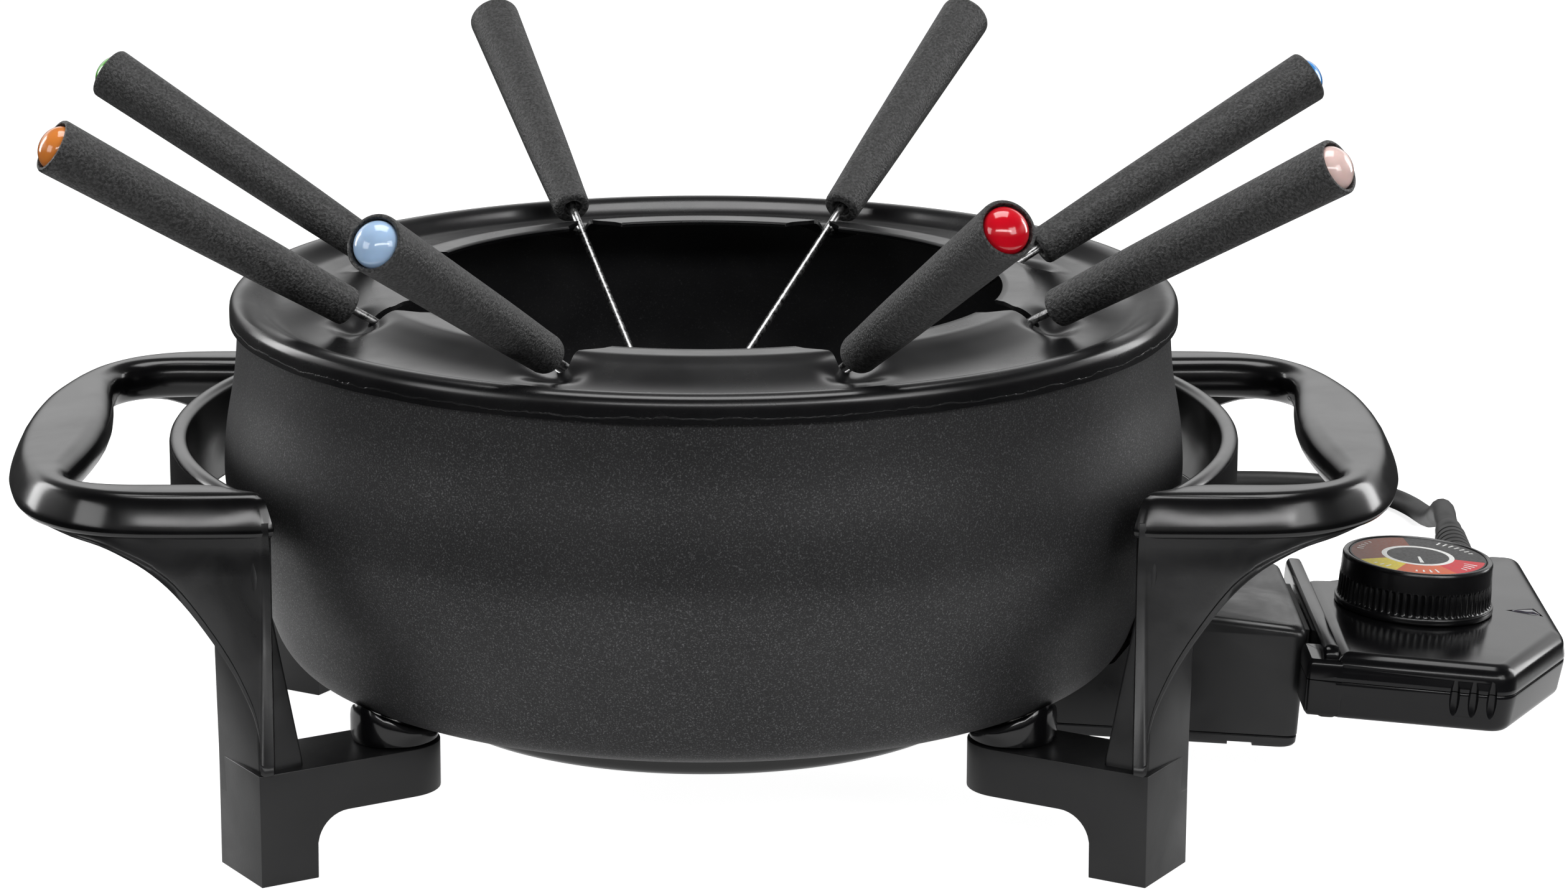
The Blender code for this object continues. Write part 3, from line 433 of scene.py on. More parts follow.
def cap(name, colour):
    """Clear-coated coloured plastic."""
    s = Shade(name, colour, 0.12, coat=0.6)
    clouds = s.noise(160.0, 2.0)
    s.vary(clouds, 0.3, 0.7, colour, 0.93, 1.05)
    s.roughness(s.ramp(clouds, 0.3, 0.7, 0.10, 0.18))
    s.set("Subsurface Weight", 0.08)
    s.set("Subsurface Scale", 0.002)
    s.bump(s.noise(300.0, 1.0), 0.03, 0.05)
    return s.mat


GRIP_GLOSS = moulding("frame_gloss", (0.0035, 0.0035, 0.0038), 0.19, cloud=0.2)
FRAME_SATIN = moulding("frame_satin", (0.0075, 0.0075, 0.008), 0.36, 0.10, 1500.0, 0.25)
SPACER = moulding("spacer_gloss", (0.004, 0.004, 0.0045), 0.14)
PAN = moulding("plinth_enamel", (0.004, 0.004, 0.004), 0.10, coat=0.5)
SOCKET = moulding("socket_satin", (0.012, 0.012, 0.0125), 0.36, 0.06, 1200.0, 0.3)
SOCKET_COVER = moulding("socket_cover_satin", (0.016, 0.016, 0.017), 0.30, 0.1, 1200.0)
SHELL = moulding("thermostat_satin", (0.004, 0.004, 0.0045), 0.17, cloud=0.15, spec=0.3)
KNOB = moulding("knob_satin", (0.004, 0.004, 0.0045), 0.24, cloud=0.15)
RUBBER = moulding("cord_rubber", (0.006, 0.006, 0.006), 0.5, grain=0.2, grain_scale=1600.0)
BLOCK = moulding("contact_block_matt", (0.02, 0.02, 0.02), 0.55, grain=0.2)
CERAMIC = moulding("switch_ceramic", (0.58, 0.55, 0.48), 0.7, grain=0.4, grain_scale=900.0)
POT_OUT, POT_IN, RING = pot_outside(), pot_inside(), ring_coat()
HANDLE, STEEL = fork_handle(), steel_wire()
SCREW = metal("screw_zinc", (0.58, 0.58, 0.57), 0.35)
PLATED = metal("plated_pin", (0.70, 0.70, 0.69), 0.2)
SHEATH = metal("element_sheath", (0.30, 0.28, 0.26), 0.42, strength=0.2)
BRASS = metal("rolled_brass", (0.72, 0.56, 0.26), 0.28)
LENS = cap("indicator_lens_smoke", (0.045, 0.040, 0.055))

# ---------- cord
CORD_R = 3.05
CORD_ROUTE = [(201.25, 105.4, 33.8), (202.4, 118, 33.2), (204.1, 131, 31.6), (205.6, 144, 29.0),
              (207.2, 157, 25.6), (208.8, 170, 21.6), (210.3, 183, 17.4), (211.6, 196, 13.2),
              (212.5, 208, 9.6), (213.1, 220, 6.6), (213.1, 232, 4.5), (211.8, 243, 3.5),
              (208.4, 253, 3.2), (202.6, 261.6, 3.15), (195.0, 268.0, 3.15), (185.5, 272.2, 3.15),
              (174.5, 274.2, 3.15), (162, 274.8, 3.15), (149, 275, 3.15), (136, 275, 3.15),
              (123, 275, 3.15), (110, 275, 3.15), (98, 275, 3.15), (86.6, 275, 3.15)]
COIL_CENTRE = (60.0, 240.0)
TAIL_ROUTE = [(37.0, 274.5, 15.8), (30.5, 274.3, 17.0), (24.0, 274.1, 17.9), (18.5, 274.0, 18.3),
              (13.4, 274.0, 18.4)]
# coil: (degrees, radius, height) along its three turns
COIL_STATIONS = [(90, 37.2, 3.15), (362, 37.2, 3.15), (452, 30.9, 3.15), (712, 30.9, 3.15),
                 (742, 31.6, 6.2), (772, 33.4, 9.35), (820, 34.0, 9.35), (862, 34.0, 8.6),
                 (1078, 34.0, 8.6), (1125, 39.6, 9.9), (1170, 41.3, 13.0), (1196, 41.5, 15.1)]
RELIEF_START, RELIEF_END = Vector((196.6, 46.5, 33.6)), Vector((201.2, 105.0, 33.8))
PLUG_BACK = Vector((13.0, 274.0, 18.4))


def smooth(t):
    return t * t * (3 - 2 * t)


def coil_points():
    """A point for each 15 degrees of the coil."""
    out = []
    for (a0, r0, z0), (a1, r1, z1) in zip(COIL_STATIONS, COIL_STATIONS[1:]):
        count = max(1, round((a1 - a0) / 15.0))
        for k in range(count):
            t = k / count
            a, r, z = radians(a0 + (a1 - a0) * t), r0 + (r1 - r0) * smooth(t), z0 + (z1 - z0) * smooth(t)
            out.append((COIL_CENTRE[0] + r * cos(a), COIL_CENTRE[1] + r * sin(a), z))
    return out


route = CORD_ROUTE + [(73.5, 275.9, 3.15)] + coil_points() + TAIL_ROUTE
route = catmull([tuple(RELIEF_END)] + route, 5)
cord_curve = bpy.data.curves.new("cord_line", "CURVE")
cord_curve.dimensions = "3D"
cord_curve.bevel_depth = CORD_R * MM
cord_curve.bevel_resolution = 5
cord_curve.use_fill_caps = True
cord_spline = cord_curve.splines.new("POLY")
cord_spline.points.add(len(route) - 1)
for point, p in zip(cord_spline.points, route):
    point.co = (*world(p), 1.0)
cord_spline.use_smooth = True
cord = bpy.data.objects.new("mains_cord", cord_curve)
scene.collection.objects.link(cord)
cord.data.materials.append(RUBBER)
stand_for(cord, "thermostat", "cord_rubber", "cord", "cord_coil", "cord_tail")

relief_line = RELIEF_END - RELIEF_START
relief_len = relief_line.length
relief_turn = Matrix.Translation(RELIEF_START * MM) \
    @ relief_line.normalized().to_track_quat("Z", "Y").to_matrix().to_4x4()
relief_profile = [(0, 0), (5.0, 0.0), (5.5, 0.8), (5.5, 10.0)]
for k in range(9):                                  # moulded rings that let the sleeve flex
    z = 14.0 + 4.2 * k
    r = 5.5 - 1.5 * (z - 14.0) / 38.0
    relief_profile += [(r, z), (r, z + 2.4), (r - 0.75, z + 2.8), (r - 0.75, z + 3.8)]
relief_profile += [(3.75, 53.0), (3.6, relief_len - 0.8), (3.4, relief_len - 0.1), (0, relief_len - 0.1)]
relief = link("cord_strain_relief", lathe_mesh(relief_profile, 40), RUBBER, relief_turn)
stand_for(relief, "thermostat", "relief_rubber", "strain_relief")

plug_turn = Matrix.Translation(PLUG_BACK * MM) @ Matrix.Rotation(pi / 2, 4, "Y")
plug_profile = [(0, 0.0), (3.9, 0.0), (4.3, -1.0), (5.0, -6.5), (6.4, -8.8), (9.5, -11.6), (13.6, -14.4),
                (16.2, -17.6), (17.6, -21.2), (18.2, -26.0)]
for k in range(5):
    z = -28.0 - 3.0 * k
    plug_profile += [(18.2, z), (17.6, z - 0.5), (17.6, z - 1.3), (18.2, z - 1.8)]
plug_profile += [(18.2, -44.6), (17.9, -45.5), (17.2, -45.95), (0, -45.95)]


def plug_shape(r, a, z):
    """Finger flats on two sides of the plug's body."""
    if z > -20.0 or r < 10.0:
        return r, z
    return r * (1.0 - 0.07 * max(0.0, abs(cos(a)) - 0.55) / 0.45), z


plug = link("plug_moulding", lathe_mesh(plug_profile, 96, plug_shape), RUBBER, plug_turn)
stand_for(plug, "thermostat", "plug_rubber", "plug_body")

# ---------- pot
POT_INNER = [(0, 34.0), (60, 34.1), (84, 34.6), (91, 35.9), (97, 39.2), (102, 44.4), (107.2, 53.6),
             (110.4, 61.6), (112.5, 69), (113.9, 76), (114.4, 83), (114.0, 90), (113.3, 96.5),
             (112.2, 105), (111.1, 114), (111.0, 122.2), (111.2, 122.65), (111.6, 122.8)]
POT_OUTER = [(113.2, 122.8), (113.7, 122.6), (113.9, 122.0), (113.9, 116), (114.8, 105), (117.0, 92),
             (117.7, 82), (117.2, 76), (115.7, 70), (112.6, 60), (109.6, 52), (107.2, 45), (105.2, 40),
             (102.0, 36), (97.5, 33.6), (92, 31.8), (86, 30.2), (80, 29.6)]
outer_line = catmull([(r, z, 0) for r, z in POT_OUTER[3:]], 5)
pot_profile = POT_INNER + POT_OUTER[:3] + [(p.x, p.y) for p in outer_line]
pot_profile += [(71, 29.6), (60, 29.6), (0, 29.6)]
pot_mats = [1 if n < len(POT_INNER) else 0 for n in range(len(pot_profile) - 1)]
pot = link("pot_body", lathe_mesh(pot_profile, 192, mats=pot_mats), [POT_OUT, POT_IN])
stand_for(pot, "base", "pot_coating", "pot")

# ---------- splash ring
RING_TOP = [(73.0, 125.2), (73.35, 125.4), (80.4, 125.4), (83.5, 124.6), (87.0, 123.4), (91.5, 122.1),
            (96.0, 121.3), (100.5, 120.9), (104.5, 121.0), (107.0, 122.0), (109.4, 123.6), (112.2, 124.3),
            (114.4, 123.8), (115.4, 122.6), (115.7, 121.0), (115.7, 117.9)]
SHEET = 1.0
NOTCH_TURNS = [radians(22.5) + n * tau / 8 for n in range(8)]
DIMPLE_DEPTH, DIMPLE_RADIUS, DIMPLE_ACROSS, DIMPLE_ALONG = 2.8, 89.0, 11.0, 8.2
top_line = [(p.x, p.y) for p in catmull([(r, z, 0) for r, z in RING_TOP[2:]], 4)]
ring_rows = RING_TOP[:2] + [(75.0, 125.4), (77.0, 125.4), (79.0, 125.4)] + top_line
RING_STEPS = 480


def ring_height(r, a, z):
    """Pressed dimple round each notch, where a fork's handle rests."""
    drop = 0.0
    for notch in NOTCH_TURNS:
        turn = a - notch
        if cos(turn) < 0.9:
            continue
        across = r * sin(turn) / DIMPLE_ACROSS
        along = (r * cos(turn) - DIMPLE_RADIUS) / DIMPLE_ALONG
        if abs(across) < 1 and abs(along) < 1:
            drop += 0.25 * DIMPLE_DEPTH * (1 + cos(pi * across)) * (1 + cos(pi * along))
    return r, z - drop


def skirt_wave(r, a, z):
    """The skirt's lower edge is not quite even."""
    r, z = ring_height(r, a, z)
    if r > 115.0 and z < 119.0:
        z += 0.10 * sin(23 * a) * sin(7 * a + 1.0)
    return r, z


ring_bm = bmesh.new()
grid = []
for side in (0, 1):
    rows = []
    for n, (r, z) in enumerate(ring_rows):
        p0, p1 = ring_rows[max(0, n - 1)], ring_rows[min(len(ring_rows) - 1, n + 1)]
        tangent = Vector((p1[0] - p0[0], p1[1] - p0[1])).normalized()
        normal = Vector((-tangent.y, tangent.x))
        off = -SHEET * side
        row = []
        for k in range(RING_STEPS):
            a = tau * k / RING_STEPS
            rr, zz = skirt_wave(r, a, z)
            rr += off * normal.x
            row.append(ring_bm.verts.new((rr * cos(a), rr * sin(a), zz + off * normal.y)))
        rows.append(row)
    grid.append(rows)
loops = grid[0] + grid[1][::-1]
for a, b in zip(loops, loops[1:] + loops[:1]):
    for i in range(RING_STEPS):
        j = (i + 1) % RING_STEPS
        ring_bm.faces.new((a[i], a[j], b[j], b[i]))
ring = link("splash_ring_sheet", mesh_of(ring_bm), RING)
slot_end = [(86.5 - 1.8 + 1.8 * cos(a), 1.8 * sin(a))
            for a in (radians(-90 + 15 * k) for k in range(13))]
keyhole = ([(70.0, -7.6), (73.4, -7.3), (75.4, -6.4), (77.2, -4.6), (78.6, -3.0), (79.8, -2.1), (81.2, -1.8)]
           + slot_end
           + [(81.2, 1.8), (79.8, 2.1), (78.6, 3.0), (77.2, 4.6), (75.4, 6.4), (73.4, 7.3), (70.0, 7.6)])
cutter_bm = bmesh.new()
for turn in NOTCH_TURNS:
    c, s = cos(turn), sin(turn)
    outline = [(c * x - s * y, s * x + c * y) for x, y in keyhole]
    add_loft(cutter_bm, [[(x, y, z) for x, y in outline] for z in (115.0, 131.0)])
boolean(ring, mesh_of(cutter_bm))
shade(ring.data, 38)
stand_for(ring, "splash_ring", "ring_coating", "splash_ring")

# ---------- forks
# name, notch and swing away from it in degrees, rise in degrees, cap colour
FORKS = [("fork_1", 202.5, -1.1, 31.9, "orange"), ("fork_2", 247.5, -5.7, 28.4, "light_blue"),
         ("fork_3", 292.5, 1.9, 30.9, "red"), ("fork_4", 337.5, -9.6, 30.2, "pink"),
         ("fork_5", 22.5, -3.9, 28.5, "blue"), ("fork_6", 67.5, -6.6, 29.0, "yellow"),
         ("fork_7", 112.5, -4.3, 27.9, "white"), ("fork_8", 157.5, -0.3, 28.4, "green")]
CAP_COLOURS = {"orange": (0.75, 0.24, 0.045), "light_blue": (0.42, 0.60, 0.85), "red": (0.66, 0.005, 0.017),
               "pink": (0.85, 0.62, 0.58), "blue": (0.032, 0.28, 0.75), "yellow": (0.85, 0.68, 0.05),
               "white": (0.82, 0.82, 0.80), "green": (0.114, 0.485, 0.045)}
PIVOT_R, REST_R, REST_Z = 82.75, 89.6, 125.6
HANDLE_START, HANDLE_END = 1.7, 85.2
HANDLE_R_IN, HANDLE_R_OUT, CAP_R = 4.7, 6.7, 5.35
WIRE_R, WIRE_REACH, TINE_LENGTH, TINE_SPREAD = 1.0, 82.0, 19.0, 2.3


def handle_profile():
    """Recess for the cap, two tapers that meet at the waist, and a round end with a collar for the wire."""
    pts = [(r, HANDLE_END - z) for r, z in (
        (0, 3.0), (CAP_R + 0.25, 3.0), (CAP_R + 0.25, 0.35), (CAP_R + 0.45, 0.05), (HANDLE_R_OUT - 0.75, 0.0),
        (HANDLE_R_OUT - 0.3, 0.12), (HANDLE_R_OUT - 0.05, 0.5), (HANDLE_R_OUT, 1.1))]
    waist_r, waist = 5.6, 0.62
    for k in range(1, 16):
        t = k / 16
        z = HANDLE_END - 1.1 - t * (HANDLE_END - HANDLE_START - 3.0)
        r = HANDLE_R_OUT - (HANDLE_R_OUT - waist_r) * (t / waist) if t < waist \
            else waist_r - (waist_r - HANDLE_R_IN) * ((t - waist) / (1 - waist)) ** 1.2
        pts.append((r, z))
    return pts + [(r, HANDLE_START + z) for r, z in (
        (HANDLE_R_IN + 0.05, 1.4), (HANDLE_R_IN - 0.1, 0.6), (HANDLE_R_IN - 0.5, 0.15),
        (HANDLE_R_IN - 1.0, 0.0), (2.6, 0.0), (2.35, 0.3), (2.3, 1.6), (1.3, 1.7), (1.3, 6.0), (0, 6.0))]


def seam(r, a, z):
    """Two thin raised mould lines along the handle."""
    if r < HANDLE_R_IN - 0.05:
        return r, z
    return r + 0.06 * exp(-(sin(a) / 0.022) ** 2), z


cap_profile = [(r, HANDLE_END + z) for r, z in (
    (0, 2.6), (1.2, 2.5), (2.3, 2.2), (3.3, 1.7), (4.15, 1.0), (4.8, 0.2), (5.2, -0.6), (CAP_R, -1.4),
    (CAP_R, -2.7), (0, -2.7))]
cap_line = [(p.x, p.y) for p in catmull([(r, z, 0) for r, z in cap_profile[:8]], 3)] + cap_profile[8:]

for fork, notch_deg, swing, elevation, colour in FORKS:
    notch, head, rise = (radians(v) for v in (notch_deg, notch_deg + swing, elevation))
    heading = Vector((cos(head), sin(head), 0.0))
    rest = Vector((cos(notch), sin(notch), 0.0)) * PIVOT_R + heading * (REST_R - PIVOT_R) \
        + Vector((0, 0, REST_Z))
    along = heading * cos(rise) + Vector((0, 0, sin(rise)))
    side = Vector((-sin(head), cos(head), 0.0))
    turn = Matrix.Translation(rest * MM) @ Matrix((side, along.cross(side), along)).transposed().to_4x4()

    handle = link(fork + "_grip", lathe_mesh(handle_profile(), 120, seam), HANDLE, turn)
    stand_for(handle, fork, "fork_handle_moulding", fork + "_handle")
    gloss = cap(fork + "_button_" + colour, CAP_COLOURS[colour])
    button = link(fork + "_button", lathe_mesh(cap_line, 48), gloss, turn)
    stand_for(button, fork, fork + "_cap_colour", fork + "_cap")

    stem_end = -(WIRE_REACH - TINE_LENGTH - 4.0)
    wire_bm = bmesh.new()
    add_loft(wire_bm, [[(x, y, z) for x, y in circle(0, 0, WIRE_R, 20)]
                       for z in (HANDLE_START + 5.8, 20 - WIRE_REACH, stem_end - 1.5)])
    for sign in (-1, 1):
        rows = []
        line = catmull([(0.15, stem_end + 2.5, 0), (0.35, stem_end, 0), (1.3, stem_end - 2.2, 0),
                        (2.15, stem_end - 4.4, 0), (TINE_SPREAD, stem_end - 7.5, 0),
                        (TINE_SPREAD, -(WIRE_REACH - 5.2), 0)], 4)
        barb = [(-(WIRE_REACH - 5.0), TINE_SPREAD + 0.45, 1.35, 0.5),
                (-(WIRE_REACH - 3.0), TINE_SPREAD + 0.2, 0.95, 0.42), (-WIRE_REACH, TINE_SPREAD, 0.1, 0.1)]
        for z, x, rx, ry in [(p.y, p.x, 0.8, 0.72) for p in line] + barb:
            rows.append([(sign * (x + rx * cos(a)), ry * sin(a), z)
                         for a in (tau * k / 12 for k in range(12))])
        add_loft(wire_bm, rows)
    wire = link(fork + "_prong", mesh_of(wire_bm), STEEL, turn)
    stand_for(wire, fork, "fork_steel", fork + "_wire")

# ---------- side frames
GRIP_Z = (80.5, 91.0)
GRIP_STATIONS = [((-102.2, -74.2), (-107.3, -69.2)), ((-104.5, -75.0), (-110.5, -66.0)),
                 ((-110.0, -75.0), (-114.5, -62.6)), ((-116.5, -75.0), (-119.0, -61.0)),
                 ((-124.0, -75.0), (-127.0, -61.0)), ((-132.0, -74.5), (-135.0, -61.0)),
                 ((-140.0, -72.6), (-141.5, -60.0)), ((-148.0, -68.0), (-146.5, -57.3)),
                 ((-155.0, -60.0), (-149.8, -52.5)), ((-159.5, -50.0), (-150.7, -46.0)),
                 ((-162.5, -39.0), (-149.8, -36.0)), ((-164.8, -27.0), (-148.5, -25.0)),
                 ((-166.1, -13.0), (-147.4, -12.5)), ((-166.5, 0.0), (-147.0, 0.0))]
COLLAR_R, COLLAR_Z, COLLAR_HALF = (126.5, 131.0), (67.0, 90.4), radians(34.3)
WING = [((-155.0, -58.6, 84), (-155.6, -60.0, 80.3)), ((-148.0, -66.8, 84), (-147.5, -69.4, 79.6)),
        ((-140.0, -71.4, 84), (-140.3, -73.7, 78.4)), ((-134.5, -73.2, 84), (-135.0, -75.6, 76.4)),
        ((-129.0, -73.8, 84), (-129.7, -77.1, 73.7)), ((-124.0, -73.9, 84), (-124.5, -78.4, 69.8)),
        ((-119.0, -73.9, 84), (-119.3, -79.8, 64.4)), ((-114.5, -73.9, 84), (-114.2, -81.4, 57.9)),
        ((-111.0, -73.9, 84), (-110.9, -82.6, 53.2)), ((-108.5, -73.9, 84), (-108.2, -83.7, 48.8)),
        ((-106.0, -73.9, 84), (-105.4, -85.0, 43.2)), ((-104.3, -73.9, 84), (-104.0, -85.9, 39.6)),
        ((-103.0, -73.9, 84), (-102.9, -87.1, 34.7)), ((-102.2, -73.9, 84), (-102.6, -88.8, 27.6)),
        ((-100.8, -74.2, 84), (-99.6, -88.9, 27.6))]
WING_WALL = 3.6
# concave blend under the bar: share of the swell, distance down, and its limit as a share of the fall
WING_BLEND = ((0.90, 0.0, 0.0), (0.93, 1.5, 0.14), (0.76, 3.2, 0.28), (0.46, 5.4, 0.44), (0.18, 8.4, 0.62),
              (0.0, 12.5, 0.8))
LEG_ORIGIN = Vector((-95.85, -72.25, 0))
ARM_DIR = Vector((0.857, 0.5153, 0)).normalized()
ARM_SIDE = Vector((-ARM_DIR.y, ARM_DIR.x, 0))
LEG_DEPTH, ARM_HALF, ARM_REACH, ARM_Z, ARM_FILLET = 14.8, 10.9, 26.0, (15.5, 27.2), 8.0
UPPER_LEG = [(18.0, [(-103.2, -86.2), (-114.3, -70.9), (-102.3, -63.6), (-92.7, -79.4)]),
             (28.8, [(-103.2, -85.9), (-114.4, -70.6), (-102.6, -63.5), (-93.6, -79.9)]),
             (62.0, [(-104.0, -79.6), (-115.2, -69.0), (-106.0, -62.8), (-100.0, -77.6)]),
             (82.5, [(-105.0, -75.6), (-115.4, -67.0), (-108.8, -62.4), (-102.0, -73.2)])]
GRIP_BULGE = 2.9             # how far the bar's side stands out past the edge of its top
# outer side of the bar from its top edge down: inward from the edge (less than 0 is outward) and down
GRIP_SIDE = [(3.4, 0.0), (2.3, -0.1), (1.4, -0.38), (0.65, -0.85), (0.05, -1.55), (-0.5, -2.4), (-1.0, -3.4),
             (-1.5, -4.5), (-1.95, -5.6), (-2.35, -6.65), (-2.65, -7.6), (-2.8, -8.5), (-2.65, -9.3),
             (-2.0, -10.0), (-0.6, -10.4), (1.2, -10.5)]


def grip_section(outer, inner):
    """Section of the grip in the upright plane through two plan points: flat top, outer side that swells
    downward and tucks under, round inner side."""
    o, i = Vector(outer), Vector(inner)
    width = (i - o).length
    d = (i - o) / width
    z0, z1 = GRIP_Z
    r = min(4.6, 0.46 * width)
    points = [(s if s > 0 else s * GRIP_BULGE / 2.8, z1 + z) for s, z in GRIP_SIDE]
    points += [(width - r + r * sin(t), z0 + r - r * cos(t))
               for t in (radians(15 * k) for k in range(7))]
    points += [(width - r + r * cos(t), z1 - r + r * sin(t))
               for t in (radians(15 * k) for k in range(1, 7))]
    return [(o.x + d.x * s, o.y + d.y * s, z) for s, z in points]


def shrink(loop, amount, shift):
    """Loop moved along shift and pulled toward its middle by amount on each side."""
    pts = [Vector(p) for p in loop]
    middle = sum(pts, Vector()) / len(pts)
    out = []
    for p in pts:
        v = p - middle
        out.append(tuple(middle + v * max(0.05, 1 - amount / max(2.5, v.length)) + shift))
    return out


def mirror_loops(loops, axis):
    return [[tuple(-c if n == axis else c for n, c in enumerate(p)) for p in loop] for loop in loops]


def grip_loops():
    """Sections along the whole grip, with a rounded end at each side of the pot."""
    outer = catmull([(o[0], o[1], 0) for o, _ in GRIP_STATIONS], 5)
    inner = catmull([(i[0], i[1], 0) for _, i in GRIP_STATIONS], 5)
    front = [grip_section(o.xy, i.xy) for o, i in zip(outer, inner)]
    toward = Vector((1.0, 0.05, 0)) * 1.5
    tips = [shrink(front[0], 2.6 * (1 - cos(radians(t))), toward * sin(radians(t)))
            for t in (75, 50, 25)]
    half = tips + front
    return half + mirror_loops(half[-2::-1], 1)


def collar_loops():
    """Sections of the upright band round the pot, with softer corners at its top."""
    (r0, r1), (z0, z1) = COLLAR_R, COLLAR_Z
    top, low = 1.9, 1.0
    corners = ((r1 - top, z1 - top, top, 0), (r0 + top, z1 - top, top, 90), (r0 + low, z0 + low, low, 180),
               (r1 - low, z0 + low, low, 270))
    out = []
    for k in range(61):
        a = pi - COLLAR_HALF + 2 * COLLAR_HALF * k / 60
        loop = []
        for cr, cz, size, start in corners:
            for step in range(5):
                t = radians(start + 22.5 * step)
                radius = cr + size * cos(t)
                loop.append((radius * cos(a), radius * sin(a), cz + size * sin(t)))
        out.append(loop)
    return out


def wing_loops():
    """Sections of the curved wing under the bar: concave outer face, thin rib along the lower edge."""
    top = catmull([t for t, _ in WING], 3)
    low = catmull([l for _, l in WING], 3)
    out = []
    for t, l in zip(top, low):
        blend = max(0.0, min(1.0, (-138.0 - t.x) / 6.0))
        inward = Vector((0.35 * blend, 1.0, 0)).normalized()
        down = (l - t).normalized()
        face = -(inward - down * inward.dot(down)).normalized()
        fall = (l - t).length
        rim, edge = min(1.0, fall / 12.0), min(2.4, 0.15 * fall)
        swell = 1.5 + 1.75 * min(1.0, fall / 14.0)
        under_bar = [t + face * (swell * share) + down * min(drop, limit * fall)
                     for share, drop, limit in WING_BLEND]
        out.append([tuple(p) for p in under_bar + [
            l - down * edge, l - down * (edge - 0.45) + face * 0.32 * rim,
            l - down * 0.5 + face * 0.32 * rim, l + face * 0.05, l + inward * 0.7 + down * 0.12,
            l + inward * (WING_WALL - 0.7) + down * 0.12, l + inward * WING_WALL - down * 0.5,
            t + inward * WING_WALL]])
    return out


def leg_loops():
    """Upright sections from the leg's outer face along its arm: (distance, half width, lowest height)."""
    rows = [(-LEG_DEPTH, ARM_HALF, 0.0), (0.0, ARM_HALF, 0.0)]
    corner = ARM_Z[0] - ARM_FILLET
    for k in range(1, 11):
        a = radians(9 * k)
        rows.append((ARM_FILLET * (1 - cos(a)), ARM_HALF, corner + ARM_FILLET * sin(a)))
    rows.append((ARM_REACH, ARM_HALF, ARM_Z[0]))
    for t in (radians(v) for v in range(8, 89, 8)):
        rows.append((ARM_REACH + ARM_HALF * sin(t), ARM_HALF * cos(t), ARM_Z[0]))
    out = []
    for s, half, low in rows:
        base = LEG_ORIGIN + ARM_DIR * s
        out.append([tuple(base + ARM_SIDE * (sign * half) + Vector((0, 0, z)))
                    for sign, z in ((-1, low), (1, low), (1, ARM_Z[1]), (-1, ARM_Z[1]))])
    return out


def upper_leg_loops():
    """Leaning upper part of the leg, between the leg and the collar."""
    out = []
    for (z0, a), (z1, b) in zip(UPPER_LEG, UPPER_LEG[1:]):
        for k in range(4):
            t = k / 4
            out.append([(p[0] + (q[0] - p[0]) * t, p[1] + (q[1] - p[1]) * t, z0 + (z1 - z0) * t)
                        for p, q in zip(a, b)])
    out.append([(x, y, UPPER_LEG[-1][0]) for x, y in UPPER_LEG[-1][1]])
    return out


def join(name, parts):
    """One object from several; the parts are used up."""
    bm = bmesh.new()
    mats = []
    for part in parts:
        mat = part.data.materials[0]
        if mat not in mats:
            mats.append(mat)
        start = len(bm.faces)
        bm.from_mesh(part.data)
        bm.faces.ensure_lookup_table()
        for face in bm.faces[start:]:
            face.material_index = mats.index(mat)
        bpy.data.objects.remove(part, do_unlink=True)
    mesh = bpy.data.meshes.new(name)
    bm.to_mesh(mesh)
    bm.free()
    obj = bpy.data.objects.new(name, mesh)
    scene.collection.objects.link(obj)
    for mat in mats:
        mesh.materials.append(mat)
    shade(mesh, 38)
    return obj


post = LEG_ORIGIN + ARM_DIR * ARM_REACH
for body_side, flip_x in (("left", False), ("right", True)):
    parts = []

    def add(loops, mat, soften=0.0, both=True):
        for flip_y in ((False, True) if both else (False,)):
            these = mirror_loops(loops, 1) if flip_y else loops
            these = mirror_loops(these, 0) if flip_x else these
            part = link("part", loft_mesh(these), mat)
            if soften:
                bevel(part, soften)
            parts.append(part)

    add(grip_loops(), GRIP_GLOSS, both=False)
    add(collar_loops(), GRIP_GLOSS, both=False)
    add(wing_loops(), FRAME_SATIN)
    add(upper_leg_loops(), FRAME_SATIN, 0.7)
    add(leg_loops(), FRAME_SATIN, 0.8)
    for part, sy in zip(parts[-2:], (1, -1)):
        boolean(part, prism(circle(-post.x if flip_x else post.x, sy * post.y, 4.6, 32), 10.0, 18.6))
    frame_piece = join("handle_frame_" + body_side, parts)
    stand_for(frame_piece, "base", "frame_moulding", "side_frame_" + body_side)

POT_UNDER = [(0, 29.6)] + POT_OUTER[:10:-1]


def under_pot(r):
    """Height of the pot's underside at a radius."""
    for (r0, z0), (r1, z1) in zip(POT_UNDER, POT_UNDER[1:]):
        if r <= r1:
            return z0 + (z1 - z0) * (r - r0) / (r1 - r0)
    return 60.0


# (radius, share of the height between the arm and the pot)
SPACER_PROFILE = [(2.35, 0.0), (3.2, 1.0), (7.6, 1.0), (9.2, 0.96), (9.9, 0.9), (10.25, 0.8), (10.4, 0.62),
                  (10.4, 0.2), (10.2, 0.05), (9.8, 0.0)]
CORNER_SIGNS = {"front_left": (1, 1), "back_left": (1, -1), "front_right": (-1, 1), "back_right": (-1, -1)}
for name, (sx, sy) in CORNER_SIGNS.items():
    cx, cy = sx * post.x, sy * post.y

    def cup(r, a, t):
        x, y = cx + r * cos(a), cy + r * sin(a)
        top = min(under_pot(hypot(x, y)) - 0.5, 38.3)
        return r, ARM_Z[1] + 0.3 + t * (top - ARM_Z[1] - 0.3)

    spacer = link("pot_rest_" + name, lathe_mesh(SPACER_PROFILE + SPACER_PROFILE[:1], 96, cup), SPACER,
                  Matrix.Translation((cx * MM, cy * MM, 0)))
    stand_for(spacer, "base", "spacer_gloss", "spacer_" + name)

